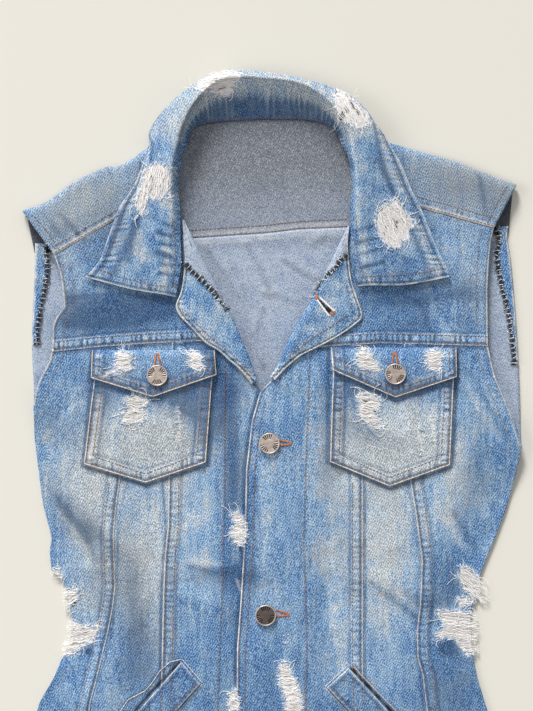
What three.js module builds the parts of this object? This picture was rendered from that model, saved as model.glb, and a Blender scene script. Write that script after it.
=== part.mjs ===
import * as THREE from "three";

// A sleeveless denim jacket lying flat on its back, seen from above.
// Lengths are millimetres. The plan is drawn in plan units, x to the right and
// y toward the hem, and UNIT turns them into millimetres.

// Driving dimensions
const GARMENT_LENGTH = 611.5;
const PLAN_TOP = 72;
const PLAN_HEM = 800;
const PLAN_CENTRE_X = 266;
const UNIT = GARMENT_LENGTH / (PLAN_HEM - PLAN_TOP);
const CLOTH = 1.2;
const FELLED = 0.8;
const SEAM_GAP = 0.3;
const LOFT = 7.4;
const SIDE_GAP = 1.5;
const SIDE_REACH = 70;
const SEAM_REACH = 60;
const PLACKET_LAP = 2.5;
const FELLED_WIDTH = 10.5;
const HEM_DEPTH = 15;
const LAPEL_ROLL = 3;
const POCKET_CLEARANCE = 0.4;
const BUTTON_RADIUS = 9;
const BUTTON_SEGMENTS = 20;

const DENIM = 0x5f8cbb;
const FADED = 0x9fb6c8;
const INSIDE = 0x93a3b3;
const METAL = 0x8a8078;

// Outlines and seams. Each row is [y, x].
const SIDE_LEFT = [
  [405, 33], [440, 34], [480, 39], [503, 42], [526, 48], [538, 51], [553, 49], [570, 51],
  [584, 64], [600, 68], [620, 72], [640, 73], [650, 70], [660, 61], [679, 53], [703, 39],
  [768, 19], [800, 12],
];
const SIDE_RIGHT = [
  [462, 519], [480, 515], [511, 506], [540, 495], [564, 485], [578, 480], [592, 482],
  [606, 473], [620, 471], [645, 472], [660, 474], [679, 478], [708, 487], [768, 505],
  [800, 511],
];
const FRONT_ARM_LEFT = [
  [255, 54], [272, 60], [285, 62], [300, 64], [308, 64], [316, 57], [325, 53], [350, 52],
  [362, 49], [374, 42], [384, 38], [397, 34], [405, 33],
];
const FRONT_ARM_RIGHT = [
  [228, 494], [240, 491], [260, 489], [290, 487.5], [345, 488], [360, 491], [376, 495],
  [392, 502], [412, 510], [430, 518], [447, 522], [462, 519],
];
const BACK_ARM_LEFT = [[213, 22], [222, 26], [232, 31], [240, 34], [275, 34], [310, 32], [350, 31], [385, 33]];
const BACK_ARM_RIGHT = [
  [190, 516], [205, 513], [215, 511], [238, 508], [255, 511], [275, 513], [310, 516],
  [340, 518], [380, 520], [447, 522],
];
const OUTER_SEAM_LEFT = [
  [345, 130], [410, 125], [476, 121], [503, 117], [534, 114], [587, 115.7], [610, 112.7],
  [633, 108], [679, 97], [702, 91], [800, 76],
];
const INNER_SEAM_LEFT = [[341, 172], [476, 168.5], [526, 167.8], [555, 164.7], [595, 163], [664, 161.6], [800, 156]];
const BAND_SEAM_LEFT = [[338, 226], [480, 226], [541, 225], [587, 223.6], [680, 219.8], [800, 217]];
const BAND_SEAM_RIGHT = [[338, 312], [395, 310], [470, 307], [540, 305], [631, 308], [800, 306]];
const INNER_SEAM_RIGHT = [[345, 361], [477, 363], [665, 363], [800, 368]];
const OUTER_SEAM_RIGHT = [
  [345, 404], [480, 410], [518, 416], [561, 421.7], [604, 420], [632, 416.7], [658, 417.4],
  [675, 422.4], [710, 426.6], [800, 443],
];
const BAND_EDGE_LEFT = [[338, 233], [360, 243.5], [385, 253.5], [394, 262], [404, 272], [426, 285], [540, 286], [800, 280]];
const BAND_EDGE_RIGHT = [
  [347, 292], [368, 284], [380, 272], [392, 260], [420, 252], [470, 246], [530, 245], [602, 240.5],
  [648, 237], [800, 236],
];
const FOLD_LEFT = [[215, 183], [232, 190], [264, 205], [300, 222], [337, 240], [360, 250], [388, 258]];
const FOLD_RIGHT = [[228, 348], [248, 337.5], [277, 323], [312, 305], [331, 293], [350, 284], [370, 279]];

// Seams that run across. Each row is [x, y].
const CHEST_SEAM_LEFT = [[52, 352], [100, 347], [150, 343.5], [205, 341], [245, 339]];
const CHEST_SEAM_RIGHT = [[290, 349], [318, 347], [381, 343.5], [488, 346.3]];
const YOKE_SEAM = [[34, 253], [110, 245], [192, 238], [266, 233], [300, 229], [347, 227], [430, 230], [510, 235]];
const NECK_SEAM = [[188, 127], [210, 124], [235, 121], [265, 120], [300, 120], [315, 123], [337, 127]];
const SHOULDER_SEAM_LEFT = [[54, 255], [118, 218], [178, 183]];
const SHOULDER_SEAM_RIGHT = [[352, 190], [395, 201], [420, 208], [450, 216], [475, 223], [494, 228]];
const SHOULDER_FOLD_LEFT = [
  [22, 211], [35, 207], [47, 202], [60, 192], [75, 181], [90, 174], [105, 167], [120, 166],
  [134, 158], [146, 149], [165, 142], [184, 136],
];
const SHOULDER_FOLD_RIGHT = [
  [349, 136], [370, 139], [390, 143], [420, 152], [440, 157], [460, 163], [480, 171],
  [500, 179], [517, 185],
];

// Soft folds of the front: centre x and y, direction in degrees, half length, half width, height.
const FOLDS = [
  { x: 62, y: 437, turn: -38, reach: 42, spread: 9, height: 1.6 },
  { x: 80, y: 520, turn: -62, reach: 46, spread: 11, height: 1.7 },
  { x: 96, y: 563, turn: -55, reach: 34, spread: 9, height: 1.3 },
  { x: 133, y: 622, turn: -58, reach: 44, spread: 10, height: 1.8 },
  { x: 196, y: 600, turn: 20, reach: 30, spread: 10, height: 1.2 },
  { x: 235, y: 571, turn: 4, reach: 22, spread: 8, height: 1.1 },
  { x: 332, y: 520, turn: 80, reach: 60, spread: 11, height: 1.4 },
  { x: 392, y: 589, turn: 28, reach: 38, spread: 10, height: 1.9 },
  { x: 446, y: 548, turn: 48, reach: 44, spread: 11, height: 1.6 },
  { x: 470, y: 470, turn: 60, reach: 50, spread: 12, height: 1.5 },
  { x: 440, y: 700, turn: 66, reach: 50, spread: 12, height: 1.6 },
  { x: 262, y: 700, turn: 84, reach: 60, spread: 13, height: 1.1 },
  { x: 110, y: 300, turn: -25, reach: 50, spread: 12, height: 1.1 },
  { x: 430, y: 300, turn: 22, reach: 50, spread: 12, height: 1.1 },
  { x: 80, y: 735, turn: 70, reach: 46, spread: 12, height: 1.6 },
  { x: 300, y: 745, turn: 86, reach: 50, spread: 13, height: 1.2 },
];

// The lapels: a point on the fold and the point that it is turned back to.
const LAPEL_LEFT = [
  { foldX: 188, foldY: 229, edgeX: 183.5, edgeY: 232 },
  { foldX: 193, foldY: 239, edgeX: 184, edgeY: 245 },
  { foldX: 199, foldY: 252, edgeX: 185, edgeY: 259 },
  { foldX: 205, foldY: 264, edgeX: 184, edgeY: 274 },
  { foldX: 213, foldY: 280, edgeX: 181, edgeY: 292 },
  { foldX: 217, foldY: 289, edgeX: 176, edgeY: 306 },
  { foldX: 222, foldY: 300, edgeX: 180, edgeY: 316 },
  { foldX: 227, foldY: 309, edgeX: 188, edgeY: 324 },
  { foldX: 232, foldY: 318, edgeX: 196, edgeY: 333 },
  { foldX: 237, foldY: 328, edgeX: 206, edgeY: 343 },
  { foldX: 241, foldY: 339, edgeX: 219, edgeY: 351 },
  { foldX: 246, foldY: 350, edgeX: 229, edgeY: 360 },
  { foldX: 250, foldY: 360, edgeX: 237, edgeY: 366.5 },
  { foldX: 254, foldY: 372, edgeX: 246, edgeY: 376 },
  { foldX: 257, foldY: 381, edgeX: 251.5, edgeY: 383.5 },
];
const LAPEL_RIGHT = [
  { foldX: 344, foldY: 235, edgeX: 348, edgeY: 238 },
  { foldX: 339, foldY: 245, edgeX: 348, edgeY: 251 },
  { foldX: 333, foldY: 258, edgeX: 349.5, edgeY: 267 },
  { foldX: 327, foldY: 270, edgeX: 352, edgeY: 283 },
  { foldX: 320, foldY: 284, edgeX: 357, edgeY: 298 },
  { foldX: 314.5, foldY: 295, edgeX: 362, edgeY: 316 },
  { foldX: 309, foldY: 305, edgeX: 354.5, edgeY: 325 },
  { foldX: 303, foldY: 315.5, edgeX: 341, edgeY: 334.5 },
  { foldX: 297, foldY: 325, edgeX: 328, edgeY: 342 },
  { foldX: 291, foldY: 336, edgeX: 314, edgeY: 349 },
  { foldX: 286, foldY: 346, edgeX: 301, edgeY: 355.5 },
  { foldX: 282, foldY: 357, edgeX: 291.5, edgeY: 363 },
  { foldX: 277, foldY: 367, edgeX: 283.5, edgeY: 370.5 },
  { foldX: 270, foldY: 377, edgeX: 275, edgeY: 380 },
];

// The collar, from its left end round the back of the neck to its right end. Each
// station has the neck seam, the roll, the fullest point of the fall and its edge,
// and the height of each above the surface.
const COLLAR_COLUMNS = [
  "seamX", "seamY", "seamZ", "rollX", "rollY", "rollZ",
  "fullX", "fullY", "fullZ", "edgeX", "edgeY", "edgeZ",
];
const COLLAR_STATIONS = [
  [175.5, 297, 12, 166, 295, 12.4, 130, 289, 12.4, 85, 277, 11.6],
  [178.5, 284, 13, 168, 281, 13.6, 136, 274, 13.4, 92, 270.5, 11.8],
  [181.5, 264, 14, 171, 262, 15, 142, 257, 14.4, 100, 260, 12],
  [181, 246, 14, 171, 244, 16, 145, 241, 15.2, 104, 249, 12],
  [180, 228, 13, 173, 226, 17, 148, 223, 16, 112, 227, 12.2],
  [180, 209, 11.5, 174, 207, 17.5, 150, 203, 17, 120, 207, 12.4],
  [178, 190, 10.4, 172.5, 187, 18.5, 150, 183, 17.4, 133, 188, 12.6],
  [178, 172, 10.4, 173, 170, 19.5, 152, 165, 17.6, 141, 170, 13],
  [181, 156, 10.4, 176, 155, 20, 154, 146, 17, 147, 153, 11.8],
  [188, 142, 7.5, 180, 143, 20, 151, 133, 13, 154, 134, 3],
  [191, 132, 3, 184, 127, 20, 161, 115, 12, 169, 120, 0.8],
  [201, 124, 1.4, 197, 103, 19.5, 186, 91, 12, 191, 108, 0.8],
  [225, 120.5, 1.4, 222, 82, 18.5, 220, 74, 11, 223, 104, 0.8],
  [265, 118.5, 1.4, 265, 81, 18, 265, 74, 11, 265, 103, 0.8],
  [305, 119, 1.4, 303, 87, 18.5, 306, 81, 11, 304, 104, 0.8],
  [327, 124, 1.4, 330, 106, 19.5, 342, 92, 12, 336, 108, 0.8],
  [337, 132, 3, 343, 127, 20, 364, 108.5, 12, 357, 118, 0.8],
  [341, 142, 7.5, 349, 141, 20, 372, 125, 15, 378, 128, 8.5],
  [348, 156, 10.4, 352, 157, 20, 376, 147, 17.6, 393, 150.5, 12.6],
  [352, 172, 10.4, 354.5, 172, 19.5, 380, 165, 17.6, 402, 167, 13],
  [352, 190, 10.4, 355.5, 190, 18.5, 384, 187, 17, 411, 189, 12.8],
  [350.5, 208, 11.5, 354, 207, 17.5, 388, 205, 16.4, 420, 207, 12.4],
  [351, 226, 13, 356, 226, 16.6, 392, 225, 15.2, 429, 228, 12.2],
  [350.5, 244, 14, 358, 244, 15.6, 397, 245, 14.6, 437, 248, 12],
  [352, 264, 14, 360, 264, 14.8, 401, 264, 13.8, 446, 266, 11.8],
  [358.5, 286.5, 12, 368, 285.5, 12.4, 406, 285, 12.4, 450, 277, 11.6],
];
const COLLAR_STEPS = 2;
const COLLAR_SHARES = [0, 0.5, 1, 1.34, 1.7, 2, 2.35, 2.7, 3, 3.5, 4];

// Rows are [radius, height] from the foot of the shank to the middle of the face.
const BUTTON_PROFILE = [
  { radius: 3.2, height: 0, marked: false },
  { radius: 3.2, height: 1.5, marked: false },
  { radius: 8.2, height: 1.6, marked: false },
  { radius: BUTTON_RADIUS, height: 2.3, marked: false },
  { radius: 8.7, height: 3.3, marked: false },
  { radius: 7.6, height: 3.4, marked: false },
  { radius: 7.0, height: 2.8, marked: true },
  { radius: 3.4, height: 2.8, marked: true },
  { radius: 2.8, height: 3.1, marked: false },
];

const POCKETS = {
  left: {
    sideFrom: [[356, 97], [382, 93.8], [464, 84]],
    sideTo: [[356, 214], [379, 212.4], [462, 206]],
    mouth: [[90, 357], [220, 356]],
    foot: [[84, 464], [145.8, 482.8], [206, 462.4]],
    flapFrom: [[350, 92], [378, 91]],
    flapTo: [[350, 215], [376, 216.5]],
    flapTop: [[92, 350], [215, 350]],
    flapFoot: [[91, 378], [153, 397], [217, 375]],
    button: { x: 157.5, y: 375.5 },
  },
  right: {
    sideFrom: [[356, 334], [375, 332.8], [462, 330]],
    sideTo: [[356, 455], [381, 453.7], [465, 450]],
    mouth: [[330, 356], [456, 357]],
    foot: [[330, 462], [389.7, 486.4], [450, 465]],
    flapFrom: [[347, 330.6], [370, 332.8]],
    flapTo: [[347, 456.5], [377, 456.5]],
    flapTop: [[330, 347.5], [457, 347.5]],
    flapFoot: [[332, 370], [395.3, 397.5], [457, 377]],
    button: { x: 395.3, y: 374 },
  },
};
const WELTS = {
  left: { top: [181.5, 662], corner: [200, 684], run: [-82, 93] },
  right: { top: [348.5, 668], corner: [327, 687], run: [84, 91] },
};
const FRONT_BUTTONS = [
  { name: "button_front_1", x: 269.4, y: 443.3 },
  { name: "button_front_2", x: 265.7, y: 615 },
  { name: "button_front_3", x: 262, y: 780 },
];

const blend = (from, to, share) => from + (to - from) * share;
const clamp = (value) => Math.min(1, Math.max(0, value));
const smooth = (value) => clamp(value) ** 2 * (3 - 2 * clamp(value));

// The value of a table of [key, value] rows at a key, held past its ends.
function along(table, key) {
  if (key <= table[0][0]) return table[0][1];
  for (let i = 1; i < table.length; i += 1) {
    const [fromKey, fromValue] = table[i - 1];
    const [toKey, toValue] = table[i];
    if (key <= toKey) return blend(fromValue, toValue, (key - fromKey) / (toKey - fromKey));
  }
  return table[table.length - 1][1];
}

// A smooth curve through rows of numbers, at a place that counts rows.
function through(rows, place) {
  const last = rows.length - 1;
  const start = Math.min(last - 1, Math.floor(place));
  const t = place - start;
  const before = rows[Math.max(0, start - 1)];
  const after = rows[Math.min(last, start + 2)];
  return rows[start].map((value, i) => {
    const next = rows[start + 1][i];
    const bend = 2 * before[i] - 5 * value + 4 * next - after[i];
    const turn = 3 * (value - next) + after[i] - before[i];
    return 0.5 * (2 * value + (next - before[i]) * t + bend * t * t + turn * t * t * t);
  });
}

function place(x, y, z) {
  const middle = (PLAN_TOP + PLAN_HEM) / 2;
  return new THREE.Vector3((x - PLAN_CENTRE_X) * UNIT, (middle - y) * UNIT, z);
}

function foldHeight(x, y) {
  let height = 0;
  for (const fold of FOLDS) {
    const angle = THREE.MathUtils.degToRad(fold.turn);
    const dx = x - fold.x;
    const dy = y - fold.y;
    const lengthways = (dx * Math.cos(angle) + dy * Math.sin(angle)) / fold.reach;
    const across = (dy * Math.cos(angle) - dx * Math.sin(angle)) / fold.spread;
    height += fold.height * Math.exp(-(lengthways ** 2) - across ** 2);
  }
  return height;
}

// The underside of the front above the surface. It comes down to the back at the
// side seams, below the armholes.
function frontHeight(x, y) {
  const fromLeft = x - along(SIDE_LEFT, y);
  const fromRight = along(SIDE_RIGHT, y) - x;
  const onLeft = fromLeft < fromRight;
  const seamTop = onLeft ? 388 : 440;
  const sewn = smooth((y - seamTop) / SEAM_REACH);
  const inward = smooth(Math.min(fromLeft, fromRight) / SIDE_REACH);
  const rise = 1 - sewn * (1 - inward);
  return SIDE_GAP + (LOFT - SIDE_GAP) * rise + foldHeight(x, y) * rise;
}

// How far the right front is lifted where it laps over the left one.
function lapHeight(x, y) {
  return PLACKET_LAP * smooth((350 - x) / 50) * smooth((y - 352) / 36);
}

// A closed solid from patches of cloth. A patch is rows of points with a wall each.
// The wall is set upward, or along the normals to both sides.
function clothSolid(patches, upward) {
  const ids = new Map();
  const points = [];
  const faces = [];
  const idOf = (knot) => {
    const key = knot.at.toArray().map((value) => Math.round(value * 1000)).join(",");
    if (!ids.has(key)) {
      ids.set(key, points.length);
      points.push(knot);
    }
    return ids.get(key);
  };
  for (const rows of patches) {
    for (let r = 1; r < rows.length; r += 1) {
      for (let c = 1; c < rows[r].length; c += 1) {
        if (rows[r][c].open) continue;
        const corners = [rows[r - 1][c - 1], rows[r][c - 1], rows[r][c], rows[r - 1][c]];
        faces.push(corners.map(idOf));
      }
    }
  }
  const normals = points.map(() => new THREE.Vector3());
  const edges = new Map();
  for (const face of faces) {
    const [a, b, c, d] = face.map((id) => points[id].at);
    const normal = c.clone().sub(a).cross(d.clone().sub(b)).normalize();
    face.forEach((id, i) => {
      normals[id].add(normal);
      edges.set(`${id},${face[(i + 1) % 4]}`, [id, face[(i + 1) % 4]]);
    });
  }
  const over = [];
  const under = [];
  points.forEach(({ at, wall }, i) => {
    if (upward) {
      under.push(at.clone());
      over.push(at.clone().setZ(at.z + wall));
      return;
    }
    const half = normals[i].normalize().multiplyScalar(wall / 2);
    over.push(at.clone().add(half));
    under.push(at.clone().sub(half));
  });
  for (const point of [...over, ...under]) point.z = Math.max(0, point.z);
  const count = points.length;
  const index = [];
  for (const [a, b, c, d] of faces) {
    index.push(a, b, c, a, c, d);
    index.push(count + a, count + c, count + b, count + a, count + d, count + c);
  }
  for (const [from, to] of edges.values()) {
    if (edges.has(`${to},${from}`)) continue;
    index.push(from, count + from, count + to, from, count + to, to);
  }
  const geometry = new THREE.BufferGeometry();
  const flat = [...over, ...under].flatMap((point) => point.toArray());
  geometry.setAttribute("position", new THREE.Float32BufferAttribute(flat, 3));
  geometry.setIndex(index);
  return outward(geometry);
}

// Turns the faces of a closed solid outward.
function outward(geometry) {
  const at = geometry.attributes.position;
  const index = geometry.index.array;
  const corner = (i) => new THREE.Vector3().fromBufferAttribute(at, index[i]);
  let volume = 0;
  for (let i = 0; i < index.length; i += 3) {
    volume += corner(i).dot(corner(i + 1).cross(corner(i + 2)));
  }
  if (volume < 0) {
    for (let i = 0; i < index.length; i += 3) {
      [index[i + 1], index[i + 2]] = [index[i + 2], index[i + 1]];
    }
  }
  geometry.computeVertexNormals();
  return geometry;
}

const vest = new THREE.Group();
vest.name = "denim_vest";

function addPiece(name, geometry, colour, roughness = 0.9) {
  const metalness = colour === METAL ? 0.8 : 0;
  const material = new THREE.MeshStandardMaterial({ color: colour, roughness, metalness });
  const mesh = new THREE.Mesh(geometry, material);
  mesh.name = name;
  mesh.updateMatrixWorld();
  vest.add(mesh);
  return mesh;
}

// Shares across a panel: fine at felled edges, even between them.
function shares(width, evenly, felledFrom, felledTo) {
  const step = FELLED_WIDTH / width;
  const list = [{ at: 0, felled: felledFrom }];
  if (felledFrom) list.push({ at: step * 0.85, felled: true }, { at: step, felled: false });
  const start = felledFrom ? step : 0;
  const end = felledTo ? 1 - step : 1;
  for (let i = 1; i < evenly; i += 1) {
    list.push({ at: blend(start, end, i / evenly), felled: false });
  }
  if (felledTo) list.push({ at: end, felled: false }, { at: 1 - step * 0.85, felled: true });
  list.push({ at: 1, felled: felledTo });
  return list;
}

// A panel of cloth between two edges that run down it and two that run across.
function panel(cut) {
  const { from, to, top, foot, across, down, height, wall = CLOTH } = cut;
  const trim = SEAM_GAP / 2 / UNIT;
  const topMiddle = top[Math.floor(top.length / 2)][1];
  const width = along(to, topMiddle + 60) - along(from, topMiddle + 60);
  const length = foot[0][1] - topMiddle;
  const columns = shares(width, across, cut.felledFrom ?? false, cut.felledTo ?? false);
  const rows = shares(length, down, false, cut.felledFoot ?? false);
  return rows.map((row) => columns.map((column) => {
    let y = blend(topMiddle, foot[0][1], row.at);
    let x = 0;
    for (let pass = 0; pass < 4; pass += 1) {
      x = blend(along(from, y) + trim, along(to, y) - trim, column.at);
      y = blend(along(top, x) + trim, along(foot, x) - trim, row.at);
    }
    const raised = row.felled || column.felled ? FELLED : 0;
    return { at: place(x, y, height(x, y)), wall: wall + raised };
  }));
}

const joined = (...tables) => {
  const rows = [];
  for (const table of tables) {
    for (const row of table) {
      if (rows.length === 0 || row[0] > rows[rows.length - 1][0]) rows.push(row);
    }
  }
  return rows;
};
const shifted = (table, by) => table.map(([key, value]) => [key, value + by]);
const HEM = [[0, PLAN_HEM], [600, PLAN_HEM]];

// The back and its yoke
function addBack() {
  const cut = {
    from: joined(BACK_ARM_LEFT, SIDE_LEFT),
    to: joined(BACK_ARM_RIGHT, SIDE_RIGHT),
    top: YOKE_SEAM,
    foot: HEM,
    across: 12,
    down: 14,
    height: () => 0,
  };
  addPiece("back_panel", clothSolid([panel(cut)], true), INSIDE);
}

const WRAP_UP = [
  { inset: 6.5, rise: 0 },
  { inset: 2.6, rise: 0.06 },
  { inset: 0.8, rise: 0.24 },
  { inset: 0.1, rise: 0.5 },
  { inset: 0.8, rise: 0.76 },
  { inset: 2.6, rise: 0.94 },
  { inset: 6.5, rise: 1 },
];

// One shoulder of the back yoke, from its seam inside, round the fold, to the front seam.
function shoulder(foldLine, frontSeam, seamFrom, seamTo, columns, reversed) {
  const rows = [];
  const flat = CLOTH / 2;
  const keys = [];
  for (let i = 0; i <= columns; i += 1) keys.push(reversed ? 1 - i / columns : i / columns);
  const foldAt = (share) => {
    const x = blend(foldLine[0][0], foldLine[foldLine.length - 1][0], share);
    return [x, along(foldLine, x)];
  };
  const frontAt = (share) => {
    const x = blend(frontSeam[0][0], frontSeam[frontSeam.length - 1][0], share);
    return [x, along(frontSeam, x) - SEAM_GAP / 2 / UNIT];
  };
  const backAt = (share) => {
    const x = blend(seamFrom, seamTo, share);
    return [x, along(YOKE_SEAM, x) - SEAM_GAP / 2 / UNIT];
  };
  const inset = (share, depth) => {
    const fold = foldAt(share);
    const front = frontAt(share);
    const run = Math.hypot(front[0] - fold[0], front[1] - fold[1]);
    return [
      blend(fold[0], front[0], depth / UNIT / run),
      blend(fold[1], front[1], depth / UNIT / run),
    ];
  };
  for (const part of [0, 0.5]) {
    rows.push(keys.map((share) => {
      const back = backAt(share);
      const near = inset(share, WRAP_UP[0].inset);
      const x = blend(back[0], near[0], part);
      const y = blend(back[1], near[1], part);
      return { at: place(x, y, flat), wall: CLOTH };
    }));
  }
  for (const { inset: depth, rise } of WRAP_UP) {
    rows.push(keys.map((share) => {
      const [x, y] = inset(share, depth);
      const z = blend(flat, frontHeight(x, y) + flat, rise);
      return { at: place(x, y, z), wall: CLOTH };
    }));
  }
  for (const part of [0.35, 0.68, 1]) {
    rows.push(keys.map((share) => {
      const near = inset(share, WRAP_UP[WRAP_UP.length - 1].inset);
      const front = frontAt(share);
      const x = blend(near[0], front[0], part);
      const y = blend(near[1], front[1], part);
      return { at: place(x, y, frontHeight(x, y) + flat), wall: CLOTH };
    }));
  }
  return rows;
}

function addBackYoke() {
  const left = shoulder(SHOULDER_FOLD_LEFT, SHOULDER_SEAM_LEFT, 34, 192, 11, false);
  const right = shoulder(SHOULDER_FOLD_RIGHT, SHOULDER_SEAM_RIGHT, 347, 509, 11, false);
  const flat = CLOTH / 2;
  const columns = 8;
  const middle = [];
  for (let r = 0; r < 4; r += 1) {
    const row = [];
    for (let c = 0; c <= columns; c += 1) {
      const share = c / columns;
      if (r < 3 && c === 0) {
        row.push(left[r][left[r].length - 1]);
        continue;
      }
      if (r < 3 && c === columns) {
        row.push(right[r][0]);
        continue;
      }
      const x = blend(190, 345, share);
      const topX = blend(NECK_SEAM[0][0], NECK_SEAM[NECK_SEAM.length - 1][0], share);
      const topY = along(NECK_SEAM, topX);
      const footY = along(YOKE_SEAM, x) - SEAM_GAP / 2 / UNIT;
      const height = [0, 0.5, 0.86, 1][r];
      row.push({ at: place(blend(x, topX, height), blend(footY, topY, height), flat), wall: CLOTH });
    }
    middle.push(row);
  }
  addPiece("back_yoke", clothSolid([left, middle, right], false), INSIDE);
}

function addFacings() {
  const lay = () => CLOTH + SEAM_GAP;
  const left = panel({
    from: shifted(BACK_ARM_LEFT, 0.5),
    to: [[243, 46], [260, 47], [275, 47], [295, 43], [310, 40], [325, 37.5], [345, 36.5]],
    top: [[0, 243], [99, 243]],
    foot: [[0, 345], [99, 345]],
    across: 1,
    down: 9,
    height: lay,
    wall: 1,
  });
  const right = panel({
    from: [[225, 497], [240, 500], [255, 497], [275, 500], [290, 503], [305, 507], [325, 511], [365, 515]],
    to: shifted(BACK_ARM_RIGHT, -0.5),
    top: [[450, 226], [550, 226]],
    foot: [[450, 364], [550, 364]],
    across: 1,
    down: 11,
    height: lay,
    wall: 1,
  });
  addPiece("armhole_facing_left", clothSolid([left], true), DENIM);
  addPiece("armhole_facing_right", clothSolid([right], true), DENIM);
}

// The two fronts
const foldEdge = (fold, sign) => {
  const [firstKey] = fold[0];
  const span = fold[fold.length - 1][0] - firstKey;
  return fold.map(([y, x]) => [y, x + sign * blend(8.5, 6, (y - firstKey) / span)]);
};

const FRONTS = {
  left: {
    yoke: {
      from: FRONT_ARM_LEFT,
      to: joined([[183, 178], [214, 180.5]], foldEdge(FOLD_LEFT, -1).slice(1)),
      top: SHOULDER_SEAM_LEFT,
      seam: CHEST_SEAM_LEFT,
    },
    side: { from: joined(FRONT_ARM_LEFT, SIDE_LEFT), to: OUTER_SEAM_LEFT, across: 8, felledTo: true },
    middle: { from: OUTER_SEAM_LEFT, to: INNER_SEAM_LEFT, across: 4 },
    centre: { from: INNER_SEAM_LEFT, to: BAND_SEAM_LEFT, across: 4, felledFrom: true },
    band: { from: BAND_SEAM_LEFT, to: BAND_EDGE_LEFT, across: 4 },
    height: frontHeight,
  },
  right: {
    yoke: {
      from: joined([[190, 352], [226, 350]], foldEdge(FOLD_RIGHT, 1).slice(1)),
      to: FRONT_ARM_RIGHT,
      top: SHOULDER_SEAM_RIGHT,
      seam: CHEST_SEAM_RIGHT,
    },
    side: { from: OUTER_SEAM_RIGHT, to: joined(FRONT_ARM_RIGHT, SIDE_RIGHT), across: 8, felledFrom: true },
    middle: { from: INNER_SEAM_RIGHT, to: OUTER_SEAM_RIGHT, across: 4 },
    centre: { from: BAND_SEAM_RIGHT, to: INNER_SEAM_RIGHT, across: 4, felledTo: true },
    band: { from: BAND_EDGE_RIGHT, to: BAND_SEAM_RIGHT, across: 5 },
    height: (x, y) => frontHeight(x, y) + lapHeight(x, y),
  },
};

function addFront(side) {
  const front = FRONTS[side];
  const built = {};
  const yoke = panel({
    from: front.yoke.from,
    to: front.yoke.to,
    top: front.yoke.top,
    foot: front.yoke.seam,
    across: 11,
    down: 8,
    felledFoot: true,
    height: front.height,
  });
  built.yoke = addPiece(`front_yoke_${side}`, clothSolid([yoke], true), FADED);
  for (const name of ["side", "middle", "centre", "band"]) {
    const cut = { ...front[name], top: front.yoke.seam, foot: HEM, down: 21, height: front.height };
    cut.felledFoot = true;
    const colour = name === "middle" ? FADED : DENIM;
    built[name] = addPiece(`front_${name}_${side}`, clothSolid([panel(cut)], true), colour);
  }
  return built;
}

// The fold of a lapel as shares of its roll: how far in from the fold, and how high.
const LAPEL_FOLD = [
  { inset: 1.5, rise: 0 },
  { inset: 0.6, rise: 0.14 },
  { inset: 0.15, rise: 0.5 },
  { inset: 0.6, rise: 0.86 },
  { inset: 1.5, rise: 1 },
];

function addLapel(side, stations, front) {
  const rows = stations.map(({ foldX, foldY, edgeX, edgeY }) => {
    const width = Math.hypot(edgeX - foldX, edgeY - foldY) * UNIT;
    const roll = Math.min(LAPEL_ROLL, width * 0.25);
    const across = (depth) => {
      const share = depth / width;
      return [blend(foldX, edgeX, share), blend(foldY, edgeY, share)];
    };
    const knots = [];
    for (const { inset, rise } of LAPEL_FOLD) {
      const [x, y] = across(inset * roll);
      const low = front.height(x, y) + CLOTH / 2;
      knots.push({ at: place(x, y, low + rise * 2 * roll), wall: CLOTH });
    }
    const [startX, startY] = across(1.5 * roll);
    const startZ = front.height(startX, startY) + CLOTH / 2 + 2 * roll;
    for (const share of [0.33, 0.66, 1]) {
      const x = blend(startX, edgeX, share);
      const y = blend(startY, edgeY, share);
      const resting = front.height(edgeX, edgeY) + CLOTH * 1.5 + FELLED + 0.6;
      const z = blend(startZ, Math.max(resting, 0), share) + Math.sin(share * Math.PI) * 0.5;
      knots.push({ at: place(x, y, z), wall: CLOTH });
    }
    return knots;
  });
  addPiece(`lapel_${side}`, clothSolid([rows], false), INSIDE);
}

// The height of the tops of built pieces at a point, the highest within a small reach.
const caster = new THREE.Raycaster();
function topOf(meshes, x, y, reach) {
  let top = 0;
  for (const dx of [-reach, 0, reach]) {
    for (const dy of [-reach, 0, reach]) {
      const from = place(x + dx, y + dy, 200);
      caster.set(from, new THREE.Vector3(0, 0, -1));
      for (const hit of caster.intersectObjects(meshes, false)) top = Math.max(top, hit.point.z);
    }
  }
  return top;
}

function addPocket(side, built) {
  const cut = POCKETS[side];
  const front = [built.yoke, built.side, built.middle, built.centre, built.band];
  const pocket = panel({
    from: cut.sideFrom,
    to: cut.sideTo,
    top: cut.mouth,
    foot: cut.foot,
    across: 10,
    down: 10,
    height: (x, y) => topOf(front, x, y, 6) + POCKET_CLEARANCE,
  });
  const pouch = addPiece(`chest_pocket_${side}`, clothSolid([pocket], true), FADED);
  const flap = panel({
    from: cut.flapFrom,
    to: cut.flapTo,
    top: cut.flapTop,
    foot: cut.flapFoot,
    across: 10,
    down: 4,
    height: (x, y) => topOf([...front, pouch], x, y, 10) + POCKET_CLEARANCE,
  });
  const cover = addPiece(`pocket_flap_${side}`, clothSolid([flap], true), FADED);
  addButton(`button_pocket_${side}`, cut.button, [cover]);
}

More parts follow.
